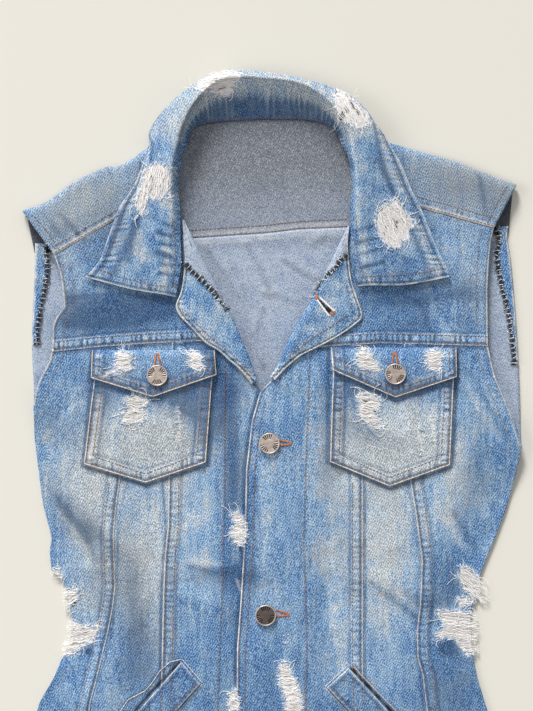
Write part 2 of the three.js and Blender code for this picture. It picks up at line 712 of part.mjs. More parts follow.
function addWelt(side, built) {
  const { top, corner, run } = WELTS[side];
  const front = [built.side, built.middle, built.centre, built.band];
  const rows = [];
  for (let r = 0; r <= 10; r += 1) {
    const row = [];
    for (let c = 0; c <= 3; c += 1) {
      const x = blend(top[0], corner[0], c / 3) + (run[0] * r) / 10;
      const y = blend(top[1], corner[1], c / 3) + (run[1] * r) / 10;
      row.push({ at: place(x, y, topOf(front, x, y, 6) + POCKET_CLEARANCE), wall: CLOTH + FELLED });
    }
    rows.push(row);
  }
  addPiece(`welt_${side}`, clothSolid([rows], true), DENIM);
}

function addButton(name, { x, y }, carriers) {
  const base = place(x, y, topOf(carriers, x, y, 5) + SEAM_GAP);
  const points = [base.clone()];
  const index = [];
  for (const { radius, height, marked } of BUTTON_PROFILE) {
    for (let i = 0; i < BUTTON_SEGMENTS; i += 1) {
      const angle = (i / BUTTON_SEGMENTS) * Math.PI * 2;
      const raised = marked && i % 4 < 2 ? 0.3 : 0;
      const offset = new THREE.Vector3(radius * Math.cos(angle), radius * Math.sin(angle), height + raised);
      points.push(base.clone().add(offset));
    }
  }
  const peak = BUTTON_PROFILE[BUTTON_PROFILE.length - 1].height;
  points.push(base.clone().add(new THREE.Vector3(0, 0, peak)));
  const at = (ring, i) => 1 + ring * BUTTON_SEGMENTS + (i % BUTTON_SEGMENTS);
  for (let i = 0; i < BUTTON_SEGMENTS; i += 1) {
    index.push(0, at(0, i + 1), at(0, i));
    for (let ring = 1; ring < BUTTON_PROFILE.length; ring += 1) {
      index.push(at(ring - 1, i), at(ring - 1, i + 1), at(ring, i + 1));
      index.push(at(ring - 1, i), at(ring, i + 1), at(ring, i));
    }
    index.push(at(BUTTON_PROFILE.length - 1, i), at(BUTTON_PROFILE.length - 1, i + 1), points.length - 1);
  }
  const geometry = new THREE.BufferGeometry();
  const flat = points.flatMap((point) => point.toArray());
  geometry.setAttribute("position", new THREE.Float32BufferAttribute(flat, 3));
  geometry.setIndex(index);
  addPiece(name, outward(geometry), METAL, 0.35);
}

function addCollar() {
  const rows = [];
  const last = (COLLAR_STATIONS.length - 1) * COLLAR_STEPS;
  for (let i = 0; i <= last; i += 1) {
    const values = through(COLLAR_STATIONS, i / COLLAR_STEPS);
    const station = Object.fromEntries(COLLAR_COLUMNS.map((name, c) => [name, values[c]]));
    const seam = [station.seamX, station.seamY, station.seamZ];
    const roll = [station.rollX, station.rollY, station.rollZ];
    const full = [station.fullX, station.fullY, station.fullZ];
    const edge = [station.edgeX, station.edgeY, station.edgeZ];
    const crown = roll.map((value, c) => blend(value, full[c], 0.2));
    crown[2] = roll[2] + Math.min(2.2, Math.abs(roll[2] - seam[2]) * 0.3);
    const controls = [seam, roll, crown, full, edge];
    rows.push(COLLAR_SHARES.map((share) => {
      const [x, y, z] = through(controls, share);
      return { at: place(x, y, Math.max(z, CLOTH / 2)), wall: CLOTH };
    }));
  }
  addPiece("collar", clothSolid([rows], false), DENIM);
}

addBack();
addBackYoke();
addFacings();
const builtLeft = addFront("left");
const builtRight = addFront("right");
addLapel("left", LAPEL_LEFT, FRONTS.left);
addLapel("right", LAPEL_RIGHT, FRONTS.right);
addPocket("left", builtLeft);
addPocket("right", builtRight);
addWelt("left", builtLeft);
addWelt("right", builtRight);
addCollar();
for (const button of FRONT_BUTTONS) addButton(button.name, button, [builtRight.band]);

// Puts the middle of the whole vest's foot at the origin.
const reach = new THREE.Box3();
for (const piece of vest.children) {
  piece.geometry.computeBoundingBox();
  reach.union(piece.geometry.boundingBox);
}
const centre = reach.getCenter(new THREE.Vector3());
for (const piece of vest.children) piece.geometry.translate(-centre.x, -centre.y, -reach.min.z);

export default vest;
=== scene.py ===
# %% [markdown]
# # A distressed denim vest, laid flat
#
# The vest is a sleeveless denim jacket that lies on its back, buttoned at the waist and
# open at the neck. Its cloth is stiff, so most panels are height fields over a flat plan:
# they are built from outlines drawn on the plan, and a rule gives their height. Only the
# collar, the lapels and the shoulders turn over, and those are swept through sections.

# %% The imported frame
import math
import random

import bpy
import numpy as np
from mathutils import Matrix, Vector
from mathutils.bvhtree import BVHTree


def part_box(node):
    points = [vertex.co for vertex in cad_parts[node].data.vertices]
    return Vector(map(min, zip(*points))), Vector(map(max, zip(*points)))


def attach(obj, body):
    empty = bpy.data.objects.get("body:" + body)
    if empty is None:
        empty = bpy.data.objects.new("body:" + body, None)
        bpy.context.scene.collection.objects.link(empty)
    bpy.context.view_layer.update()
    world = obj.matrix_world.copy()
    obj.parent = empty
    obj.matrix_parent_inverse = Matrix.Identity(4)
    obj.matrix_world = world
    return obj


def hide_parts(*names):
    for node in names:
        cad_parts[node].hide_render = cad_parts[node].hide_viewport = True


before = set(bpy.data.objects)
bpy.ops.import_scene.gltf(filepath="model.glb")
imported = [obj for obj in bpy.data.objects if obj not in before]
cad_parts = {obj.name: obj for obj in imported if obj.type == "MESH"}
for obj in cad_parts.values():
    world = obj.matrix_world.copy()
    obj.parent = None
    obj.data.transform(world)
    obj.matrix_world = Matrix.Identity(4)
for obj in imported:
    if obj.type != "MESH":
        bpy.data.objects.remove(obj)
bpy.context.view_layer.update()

# %% [markdown]
# ## The plan
#
# A cutter draws every piece on one flat plan. Here a plan unit is 0.84 mm, x runs to the
# right and y runs toward the hem. The frame's back panel says where the plan lies, so the
# pieces land on the solids without any fitting.

# %% Plan units, and the smooth steps that the shapes share
GARMENT_LENGTH = 611.5
PLAN_TOP = 72
PLAN_HEM = 800
PLAN_CENTRE_X = 266
PLAN_MIDDLE_Y = (PLAN_TOP + PLAN_HEM) // 2
HEM_LEFT_X = 12
UNIT = GARMENT_LENGTH / 1000 / (PLAN_HEM - PLAN_TOP)
UNIT_MM = 0.84
CLOTH = 1.2
FELLED = 0.8
SEAM_GAP = 0.3
LOFT = 7.4
SIDE_GAP = 1.5
SIDE_REACH = 70
SEAM_REACH = 60
PLACKET_LAP = 2.5
HALF_GAP = SEAM_GAP / 2 / UNIT_MM
back_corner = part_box("back_panel")[0]
SHIFT_X = back_corner[0] - (HEM_LEFT_X + HALF_GAP - PLAN_CENTRE_X) * UNIT
SHIFT_Y = back_corner[1] - (PLAN_MIDDLE_Y - PLAN_HEM + HALF_GAP) * UNIT


def smooth(value):
    value = np.clip(value, 0, 1)
    return value * value * (3 - 2 * value)


def bell(distance, width, centre=0):
    """1 at a centre, and fading to 0 within a few widths of it."""
    return np.exp(-(((distance - centre) / width) ** 2))


def along(table, key):
    """The value of a table of [key, value] rows, in between them too."""
    keys, values = zip(*table)
    return np.interp(key, keys, values)


def placed(x, y, z):
    """Plan units and millimetres of height to metres in the frame."""
    x, y, z = np.broadcast_arrays(x, y, z)
    across = (x - PLAN_CENTRE_X) * UNIT + SHIFT_X
    up = (PLAN_MIDDLE_Y - y) * UNIT + SHIFT_Y
    return np.stack([across, up, z / 1000], axis=-1)


print("plan unit in mm:", round(UNIT * 1000, 3), "shift:", round(SHIFT_X, 4), round(SHIFT_Y, 4))

# %% [markdown]
# ## The outlines and the seams
#
# Edges that run down the vest are rows of [y, x], and those that run across are rows of
# [x, y]. The solids of the frame are made from the same rows.

# %% Edges that run down
SIDE_LEFT = [
    [405, 33], [440, 34], [480, 39], [503, 42], [526, 48], [538, 51], [553, 49], [570, 51],
    [584, 64], [600, 68], [620, 72], [640, 73], [650, 70], [660, 61], [679, 53], [703, 39],
    [768, 19], [800, 12],
]
SIDE_RIGHT = [
    [462, 519], [480, 515], [511, 506], [540, 495], [564, 485], [578, 480], [592, 482],
    [606, 473], [620, 471], [645, 472], [660, 474], [679, 478], [708, 487], [768, 505],
    [800, 511],
]
FRONT_ARM_LEFT = [
    [255, 54], [272, 60], [285, 62], [300, 64], [308, 64], [316, 57], [325, 53], [350, 52],
    [362, 49], [374, 42], [384, 38], [397, 34], [405, 33],
]
FRONT_ARM_RIGHT = [
    [228, 494], [240, 491], [260, 489], [290, 487.5], [345, 488], [360, 491], [376, 495],
    [392, 502], [412, 510], [430, 518], [447, 522], [462, 519],
]
BACK_ARM_LEFT = [
    [213, 22], [222, 26], [232, 31], [240, 34], [275, 34], [310, 32], [350, 31], [385, 33],
]
BACK_ARM_RIGHT = [
    [190, 516], [205, 513], [215, 511], [238, 508], [255, 511], [275, 513], [310, 516],
    [340, 518], [380, 520], [447, 522],
]
OUTER_SEAM_LEFT = [
    [345, 130], [410, 125], [476, 121], [503, 117], [534, 114], [587, 115.7], [610, 112.7],
    [633, 108], [679, 97], [702, 91], [800, 76],
]
INNER_SEAM_LEFT = [
    [341, 172], [476, 168.5], [526, 167.8], [555, 164.7], [595, 163], [664, 161.6], [800, 156],
]
BAND_SEAM_LEFT = [[338, 226], [480, 226], [541, 225], [587, 223.6], [680, 219.8], [800, 217]]
BAND_SEAM_RIGHT = [[338, 312], [395, 310], [470, 307], [540, 305], [631, 308], [800, 306]]
INNER_SEAM_RIGHT = [[345, 361], [477, 363], [665, 363], [800, 368]]
OUTER_SEAM_RIGHT = [
    [345, 404], [480, 410], [518, 416], [561, 421.7], [604, 420], [632, 416.7], [658, 417.4],
    [675, 422.4], [710, 426.6], [800, 443],
]
BAND_EDGE_LEFT = [
    [338, 233], [360, 243.5], [385, 253.5], [394, 262], [404, 272], [426, 285], [540, 286],
    [800, 280],
]
BAND_EDGE_RIGHT = [
    [347, 292], [368, 284], [380, 272], [392, 260], [420, 252], [470, 246], [530, 245],
    [602, 240.5], [648, 237], [800, 236],
]
FOLD_LEFT = [[215, 183], [232, 190], [264, 205], [300, 222], [337, 240], [360, 250], [388, 258]]
FOLD_RIGHT = [
    [228, 348], [248, 337.5], [277, 323], [312, 305], [331, 293], [350, 284], [370, 279],
]
print("hem at plan row", PLAN_HEM)

# %% Edges that run across
CHEST_SEAM_LEFT = [[52, 352], [100, 347], [150, 343.5], [205, 341], [245, 339]]
CHEST_SEAM_RIGHT = [[290, 349], [318, 347], [381, 343.5], [488, 346.3]]
YOKE_SEAM = [
    [34, 253], [110, 245], [192, 238], [266, 233], [300, 229], [347, 227], [430, 230], [510, 235],
]
NECK_SEAM = [[188, 127], [210, 124], [235, 121], [265, 120], [300, 120], [315, 123], [337, 127]]
SHOULDER_SEAM_LEFT = [[54, 255], [118, 218], [178, 183]]
SHOULDER_SEAM_RIGHT = [[352, 190], [395, 201], [420, 208], [450, 216], [475, 223], [494, 228]]
SHOULDER_FOLD_LEFT = [
    [22, 211], [35, 207], [47, 202], [60, 192], [75, 181], [90, 174], [105, 167], [120, 166],
    [134, 158], [146, 149], [165, 142], [184, 136],
]
SHOULDER_FOLD_RIGHT = [
    [349, 136], [370, 139], [390, 143], [420, 152], [440, 157], [460, 163], [480, 171],
    [500, 179], [517, 185],
]
HEM = [[0, PLAN_HEM], [600, PLAN_HEM]]
print("middle of the yoke seam at plan row", round(float(along(YOKE_SEAM, PLAN_CENTRE_X))))

# %% [markdown]
# ## Folds and wrinkles
#
# Denim that is laid down by hand keeps soft folds that run slantwise at the waist, fine
# ripples along every seam, where washing shrank the thread, and a slight unevenness all
# over. Three terms are added: a short table of folds, a lattice noise, and puckers that
# fade with the distance from a seam.

# %% Soft folds of the front
FOLD_COLUMNS = ["x", "y", "turn", "reach", "spread", "height"]
FOLDS = [
    [62, 437, -38, 42, 9, 1.6], [80, 520, -62, 46, 11, 1.7], [96, 563, -55, 34, 9, 1.3],
    [133, 622, -58, 44, 10, 1.8], [196, 600, 20, 30, 10, 1.2], [235, 571, 4, 22, 8, 1.1],
    [332, 520, 80, 60, 11, 1.4], [392, 589, 28, 38, 10, 1.9], [446, 548, 48, 44, 11, 1.6],
    [470, 470, 60, 50, 12, 1.5], [440, 700, 66, 50, 12, 1.6], [262, 700, 84, 60, 13, 1.1],
    [110, 300, -25, 50, 12, 1.1], [430, 300, 22, 50, 12, 1.1], [80, 735, 70, 46, 12, 1.6],
    [300, 745, 86, 50, 13, 1.2],
]
LATTICE_SIZE = 97
lattice = np.random.RandomState(11).rand(LATTICE_SIZE, LATTICE_SIZE)


def uneven(x, y, size, layer=0):
    """Lattice noise from -1 to 1, with bumps of a size in plan units."""
    u = np.asarray(x) / size + 17.3 * layer
    v = np.asarray(y) / size + 31.7 * layer
    column = np.floor(u).astype(int)
    row = np.floor(v).astype(int)
    across = smooth(u - column)
    down = smooth(v - row)
    below, right = (row + 1) % LATTICE_SIZE, (column + 1) % LATTICE_SIZE
    row, column = row % LATTICE_SIZE, column % LATTICE_SIZE
    upper = lattice[row, column] * (1 - across) + lattice[row, right] * across
    lower = lattice[below, column] * (1 - across) + lattice[below, right] * across
    return 2 * (upper * (1 - down) + lower * down) - 1


def patch_share(x, y, centre_x, centre_y, wide, tall, turn):
    """0 at the middle of a turned oval, 1 on its edge, and more outside it."""
    angle = math.radians(turn)
    dx, dy = x - centre_x, y - centre_y
    across = (dx * math.cos(angle) + dy * math.sin(angle)) / wide
    down = (dy * math.cos(angle) - dx * math.sin(angle)) / tall
    return across**2 + down**2


def fold_height(x, y):
    height = np.zeros(np.broadcast(x, y).shape)
    for row in FOLDS:
        fold = dict(zip(FOLD_COLUMNS, row))
        oval = (fold[key] for key in ("x", "y", "reach", "spread", "turn"))
        height += fold["height"] * np.exp(-patch_share(x, y, *oval))
    return height


def front_height(x, y):
    """The underside of the front, in millimetres above the surface."""
    from_left = x - along(SIDE_LEFT, y)
    from_right = along(SIDE_RIGHT, y) - x
    seam_top = np.where(from_left < from_right, 388, 440)
    sewn = smooth((y - seam_top) / SEAM_REACH)
    inward = smooth(np.minimum(from_left, from_right) / SIDE_REACH)
    rise = 1 - sewn * (1 - inward)
    return SIDE_GAP + (LOFT - SIDE_GAP) * rise + fold_height(x, y) * rise


def right_front_height(x, y):
    """The same for the right front, which laps over the left one at the placket."""
    lap = PLACKET_LAP * smooth((350 - x) / 50) * smooth((y - 352) / 36)
    return front_height(x, y) + lap


chest_height = float(front_height(PLAN_CENTRE_X, PLAN_MIDDLE_Y))
print("folds:", len(FOLDS), "height at the chest in mm:", round(chest_height, 2))

# %% Fine creases, as short lines on the plan
CREASE_COLUMNS = ["x", "y", "to_x", "to_y", "width", "depth"]
CREASES = [
    [38, 450, 60, 433, 4, 0.9], [60, 433, 86, 409, 4, 0.8], [66, 498, 92, 528, 5, 0.8],
    [92, 528, 108, 560, 5, 0.7], [56, 521, 72, 548, 4, 0.7], [118, 590, 131, 622, 4, 0.9],
    [131, 622, 145, 658, 4, 0.8], [124, 560, 150, 585, 5, 0.5], [370, 575, 396, 590, 4, 0.9],
    [396, 590, 420, 610, 4, 0.8], [225, 574, 243, 573, 3, 0.8], [438, 530, 462, 562, 5, 0.7],
    [456, 500, 478, 540, 5, 0.6], [330, 560, 345, 600, 5, 0.5], [430, 690, 452, 708, 5, 0.7],
    [442, 655, 470, 668, 4, 0.7], [186, 500, 200, 560, 6, 0.4], [96, 300, 130, 286, 6, 0.5],
    [404, 300, 452, 320, 6, 0.5], [66, 270, 96, 262, 5, 0.5], [472, 410, 500, 440, 5, 0.7],
    [80, 455, 60, 500, 6, 0.5], [270, 660, 284, 700, 5, 0.5], [462, 590, 440, 620, 4, 0.5],
]


def crease_depth(x, y):
    depth = np.zeros(np.broadcast(x, y).shape)
    for row in CREASES:
        crease = dict(zip(CREASE_COLUMNS, row))
        run_x, run_y = crease["to_x"] - crease["x"], crease["to_y"] - crease["y"]
        length = run_x**2 + run_y**2
        share = ((x - crease["x"]) * run_x + (y - crease["y"]) * run_y) / length
        share = np.clip(share, 0, 1)
        away = np.hypot(x - crease["x"] - share * run_x, y - crease["y"] - share * run_y)
        taper = 0.35 + 0.65 * np.sin(np.pi * np.clip(share, 0.08, 0.92))
        depth += crease["depth"] * taper * bell(away, crease["width"])
    return depth


def texture_height(x, y):
    """Unevenness that every panel of the front shows, in millimetres."""
    return 0.7 * uneven(x, y, 30) + 0.32 * uneven(x, y, 12, 1) + 0.12 * uneven(x, y, 5, 2)


def gathers(distance, lengthways):
    """An uneven wave along a seam, where washing shrank the thread."""
    wave = np.sin(lengthways * 1.0 + 4.5 * uneven(lengthways, lengthways * 0.3, 14, 3))
    return wave * np.clip(0.7 + 1.0 * uneven(lengthways, distance * 0.5, 8, 4), 0, 1.5)


def puckers(distance, lengthways, strength):
    """Ripples beside a seam, at a distance in plan units from it."""
    return gathers(distance, lengthways) * strength * bell(distance, 6)


print("creases:", len(CREASES))

# %% [markdown]
# ## How the wash shows
#
# The vest was faded by hand: pale on the pockets and down the middle panels, grey on the
# shoulders, and a stronger blue near the hem and the placket. A table of soft patches and
# a table of lines give each point its shares of wear and of painted shade and highlight, in
# creases, beside seams and edges, and under the collar and the flaps. They are kept on the
# mesh as attributes, and the one denim finish reads them.

# %% Patches of the wash and of painted shade
WEAR_AND_SHADE = ("fade", "grey", "deep", "worn", "black_shadow")
# Each row has x, y, the reach across and down, the turn in degrees, and the amount.
PATCHES = {
    "fade": [
        [150, 432, 66, 44, 0, 0.95], [392, 434, 64, 46, 0, 0.95], [142, 552, 34, 90, 3, 0.9],
        [192, 490, 26, 70, 0, 0.65], [338, 530, 30, 130, 0, 0.65], [388, 545, 26, 80, 0, 1.0],
        [84, 505, 28, 66, 0, 0.7], [56, 460, 22, 36, 0, 0.2], [92, 595, 22, 30, 0, 0.6],
        [450, 480, 40, 70, 0, 0.5], [470, 180, 60, 22, 14, 0.75], [80, 205, 56, 24, -30, 0.75],
        [460, 270, 26, 60, 0, 0.45], [484, 405, 24, 40, 0, 0.3], [160, 640, 14, 40, 0, 0.4],
        [385, 640, 18, 50, 0, 0.3], [205, 570, 18, 40, 0, 0.45], [345, 640, 14, 50, 0, 0.3],
        [80, 690, 40, 26, 0, 0.25], [200, 700, 30, 26, 0, 0.2], [262, 500, 12, 70, 0, 0.25],
        [100, 470, 10, 40, 10, 0.4], [452, 500, 18, 60, 10, 0.3],
    ],
    # Grey rows give the grey cast of the wash; the rows at 92, 545 and at 134, 590 grey the painted
    # shade of folds there.
    "grey": [
        [85, 205, 70, 34, -28, 1.2], [460, 186, 72, 32, 14, 1.4], [470, 280, 20, 50, 0, 0.4],
        [62, 290, 14, 46, 0, 0.4], [150, 450, 60, 30, 0, 0.75], [395, 452, 58, 32, 0, 0.75],
        [140, 560, 30, 80, 0, 0.55], [388, 560, 26, 80, 0, 0.5], [85, 480, 30, 80, 0, 0.75],
        [170, 438, 20, 14, 0, 0.7], [88, 600, 16, 20, 0, 0.8], [180, 105, 20, 26, 30, 0.4],
        [100, 160, 40, 14, -24, 0.6], [374, 440, 22, 12, 20, 0.6], [92, 545, 52, 14, 55, 0.9],
        [134, 590, 14, 60, -8, 0.8],
    ],
    # These rows darken the cloth: partly the stronger, less faded blue near the hem and the placket, and
    # mostly painted shade under the collar tips and the flaps, beside the pockets, in folds and creases,
    # and in the holes under the rips.
    "deep": [
        [106, 232, 22, 34, 22, 0.5], [118, 311, 76, 15, 0, 1.5], [96, 326, 40, 12, 0, 0.5],
        [420, 292, 70, 13, 0, 0.75], [400, 318, 50, 14, 0, 0.35], [164, 390, 62, 14, 0, 0.9],
        [186, 406, 22, 14, 0, 0.7], [398, 388, 64, 13, 0, 0.7], [350, 400, 14, 40, 0, 0.5],
        [207, 396, 20, 46, 0, 0.7], [100, 400, 14, 24, 0, 0.5], [234, 470, 12, 60, 0, 0.9],
        [92, 530, 44, 9, 46, 0.65], [130, 600, 10, 48, -4, 0.35], [106, 600, 12, 30, -10, 0.4],
        [205, 575, 26, 8, -6, 0.45], [62, 520, 10, 34, -20, 0.3], [420, 600, 30, 9, 30, 0.35],
        [350, 565, 10, 50, 0, 0.3], [48, 415, 14, 16, 0, 0.35], [374, 436, 24, 8, 20, 0.5],
        [404, 330, 34, 9, -14, 0.4], [466, 300, 12, 40, 0, 0.25], [474, 470, 14, 60, 12, 0.3],
        [316, 600, 12, 60, 0, 0.25], [170, 600, 8, 60, 0, 0.25], [130, 300, 60, 8, 0, 0.4],
        [232, 590, 14, 60, 0, 0.5], [88, 540, 46, 7, 55, 0.3], [136, 588, 10, 60, -8, 0.2],
        [470, 188, 66, 22, 14, 0.55], [78, 206, 56, 22, -28, 0.2], [142, 302, 56, 6, 4, 0.9],
        [404, 300, 50, 6, -4, 0.5], [60, 232, 22, 8, -24, 0.3], [326, 440, 10, 80, 0, 0.45],
        [220, 400, 18, 50, 20, 0.6], [275, 690, 44, 46, 0, 0.3], [200, 690, 34, 40, 0, 0.2],
        [455, 690, 40, 44, 0, 0.55], [60, 700, 40, 40, 0, 0.25], [480, 450, 24, 50, 0, 0.2],
        [452, 584, 18, 26, 30, 0.6], [268, 770, 260, 50, 0, 0.35], [245, 575, 26, 12, 0, 0.5],
        [449, 648, 10, 7, 0, 1.6], [88, 652, 5, 4, 0, 1.2], [138, 655, 26, 50, 0, 0.6],
        [395, 270, 24, 16, 0, 0.2], [300, 500, 10, 120, 0, 0.15], [208, 350, 16, 12, 0, 0.5],
    ],
}
print("patches:", {kind: len(rows) for kind, rows in PATCHES.items()})

# %% Lines of wear, of painted shade and of painted highlight, as points of the plan
# Each row has a width, an amount and the points of its line.
MARKS = {
    # Dark lines, mostly painted shade: beside the edges of the pockets and the flaps, along the placket,
    # the seams and the welts, and in folds and creases. Some of it is the darker, less faded blue that
    # such lines keep.
    "deep": [
        [1.6, 1.4, [(92, 352), (89.5, 378), (91.5, 386), (82, 466), (146, 485.5)]],
        [1.6, 1.4, [(146, 485.5), (208.5, 465), (215.5, 384), (219, 377), (217, 350)]],
        [2.2, 1.2, [(91, 382), (153, 400), (218, 379)]],
        [1.6, 1.4, [(328, 350), (328, 462), (390, 489), (452.5, 467), (458.5, 350)]],
        [2.2, 1.2, [(331, 373), (395.3, 400.5), (458, 380)]],
        [1.7, 1.2, [(284, 366), (270, 380), (258.5, 392), (250.5, 420), (244.5, 470)]],
        [1.7, 1.2, [(244.5, 470), (243.4, 530), (239, 602), (235.5, 648), (234.4, 800)]],
        [1.8, 0.9, [(32, 356), (100, 349), (150, 345.5), (205, 343)]],
        [1.8, 0.9, [(318, 349), (381, 345.5), (488, 348.3)]],
        [1.5, 0.8, [(162.5, 484), (166, 530), (163, 557), (161.2, 595), (160, 664), (154, 800)]],
        [1.5, 0.8, [(365, 484), (365, 665), (370, 800)]],
        [1.4, 0.5, [(127, 484), (118, 516), (117.5, 587), (110, 640), (99, 679), (78, 800)]],
        [1.4, 0.5, [(408, 484), (414, 518), (419.5, 561), (415, 640), (424, 710), (441, 800)]],
        [2.0, 0.6, [(181, 659), (160, 671), (145, 691), (128, 700), (92, 752)]],
        [2.0, 0.6, [(354.8, 666), (362, 676), (439, 758)]],
        [4, 0.5, [(52, 446), (74, 424), (90, 412)]], [4, 0.5, [(58, 500), (86, 538), (96, 560)]],
        [4, 0.45, [(454, 512), (476, 548)]], [4, 0.5, [(372, 582), (394, 600), (416, 618)]],
        [4, 0.5, [(66, 324), (92, 304)]], [3, 0.5, [(188, 566), (214, 572), (243, 569)]],
        [4, 0.5, [(414, 290), (424, 314), (434, 338)]],
        [3, 0.4, [(470, 372), (490, 408), (508, 438)]], [3, 0.5, [(60, 214), (84, 240)]],
        [3, 0.4, [(44, 214), (62, 238)]], [3, 0.4, [(480, 176), (486, 216)]],
        [5, 0.4, [(255, 480), (252, 590)]],
    ],
    # Painted shadow in the openings of the slanting pockets.
    "black_shadow": [
        [1.7, 1.3, [(178.8, 663), (150, 693), (96.5, 756)]], [1.7, 1.3, [(352.3, 669), (436, 760)]],
    ],
    "worn": [
        [0.9, 0.65, [(54.5, 255), (62.5, 285), (64.6, 306), (57, 317), (53.6, 325), (52.6, 350)]],
        [0.9, 0.65, [(52.6, 350), (49.6, 362), (38.6, 384), (33.8, 405)]],
        [1.0, 0.7, [(493.4, 230), (488.4, 262), (486.8, 290), (487.2, 345), (494, 376)]],
        [0.9, 0.65, [(494, 376), (509, 412), (520, 447)]],
        [1.6, 0.7, [(177, 408), (180, 424), (178, 442)]], [1.3, 0.6, [(170, 420), (172, 436)]],
        [1.6, 0.7, [(430, 416), (434, 430), (435, 446)]], [1.4, 0.6, [(418, 428), (424, 458)]],
        [3.0, 0.5, [(100, 398), (96, 432), (88, 462)]], [1.4, 0.5, [(237, 580), (240, 590)]],
        [2.0, 0.8, [(103, 378), (110, 372), (120, 371)]], [1.6, 0.6, [(112, 428), (124, 419)]],
    ],
    # Pale lines. Most lie beside the dark lines of folds above and are painted highlight on the side of
    # a fold that faces the light; the rest are streaks of the wash.
    "fade": [
        [5, 0.6, [(240, 360), (243, 420), (236, 560)]], [4, 0.2, [(44, 440), (66, 412), (88, 398)]],
        [5, 0.5, [(66, 520), (84, 544), (104, 566)]], [4, 0.5, [(446, 520), (470, 556)]],
        [6, 0.4, [(330, 590), (336, 650)]], [4, 0.5, [(374, 572), (398, 592), (422, 612)]],
        [5, 0.4, [(264, 470), (262, 590)]], [4, 0.5, [(58, 320), (72, 308), (98, 292)]],
        [3, 0.5, [(230, 350), (250, 380), (252, 410)]], [4, 0.2, [(36, 452), (48, 430), (64, 420)]],
        [3, 0.5, [(190, 560), (220, 564)]], [5, 0.6, [(424, 286), (434, 308), (446, 334)]],
        [3, 0.4, [(462, 376), (480, 410), (500, 440)]], [4, 0.4, [(118, 215), (150, 300)]],
        [5, 0.4, [(290, 640), (286, 662)]],
    ],
}
# The collar's dark lines are painted shade in its puckers and folds, and its pale lines are painted
# highlight beside them.
COLLAR_MARKS = {
    "deep": [
        [2.2, 0.9, [(164, 224), (179, 229)]], [2.4, 1.0, [(157, 232), (179, 239)]],
        [2.2, 0.9, [(160, 243), (180, 248)]], [2.8, 1.1, [(158, 253), (178, 259)]],
        [2.0, 0.8, [(161, 264), (177, 267)]], [2.2, 0.9, [(160, 273), (177, 277)]],
        [2.2, 0.8, [(354, 232), (372, 227)]], [2.4, 0.9, [(354, 244), (376, 238)]],
        [2.2, 0.8, [(356, 256), (378, 249)]], [2.4, 0.9, [(360, 268), (382, 262)]],
        [4.0, 0.5, [(200, 100), (186, 118), (178, 150)]], [3.0, 0.5, [(140, 214), (128, 262)]],
        [3.0, 0.4, [(390, 250), (410, 262)]], [3.0, 0.4, [(376, 160), (392, 196)]],
        [4.0, 0.5, [(330, 130), (344, 176), (346, 210)]],
    ],
    "fade": [
        [2.2, 0.6, [(160, 247), (178, 253)]], [2.0, 0.6, [(164, 269), (177, 272)]],
        [5.0, 0.4, [(146, 225), (140, 262)]], [4.0, 0.4, [(384, 160), (404, 200)]],
        [4.0, 0.3, [(420, 240), (432, 262)]],
    ],
}


def line_distance(x, y, points):
    """Distance in plan units from points of the plan to a broken line."""
    nearest = np.full(np.broadcast(x, y).shape, 1e9)
    for (ax, ay), (bx, by) in zip(points, points[1:]):
        run_x, run_y = bx - ax, by - ay
        length = max(run_x**2 + run_y**2, 1e-9)
        share = np.clip(((x - ax) * run_x + (y - ay) * run_y) / length, 0, 1)
        nearest = np.minimum(nearest, np.hypot(x - ax - share * run_x, y - ay - share * run_y))
    return nearest


def wash_and_shade(x, y, marks=MARKS):
    """The shares of wear, painted shade and painted highlight at points of the plan."""
    shape = np.broadcast(x, y).shape
    shares = {kind: np.zeros(shape) for kind in WEAR_AND_SHADE}
    for kind, rows in PATCHES.items():
        for row in rows:
            shares[kind] += row[-1] * np.exp(-patch_share(x, y, *row[:-1]))
    broken = 0.85 + 0.3 * uneven(x, y, 5, 4)
    for kind, rows in marks.items():
        for width, amount, points in rows:
            shares[kind] += amount * broken * bell(line_distance(x, y, points), width)
    return shares


print("lines of wear:", {kind: len(rows) for kind, rows in MARKS.items()})
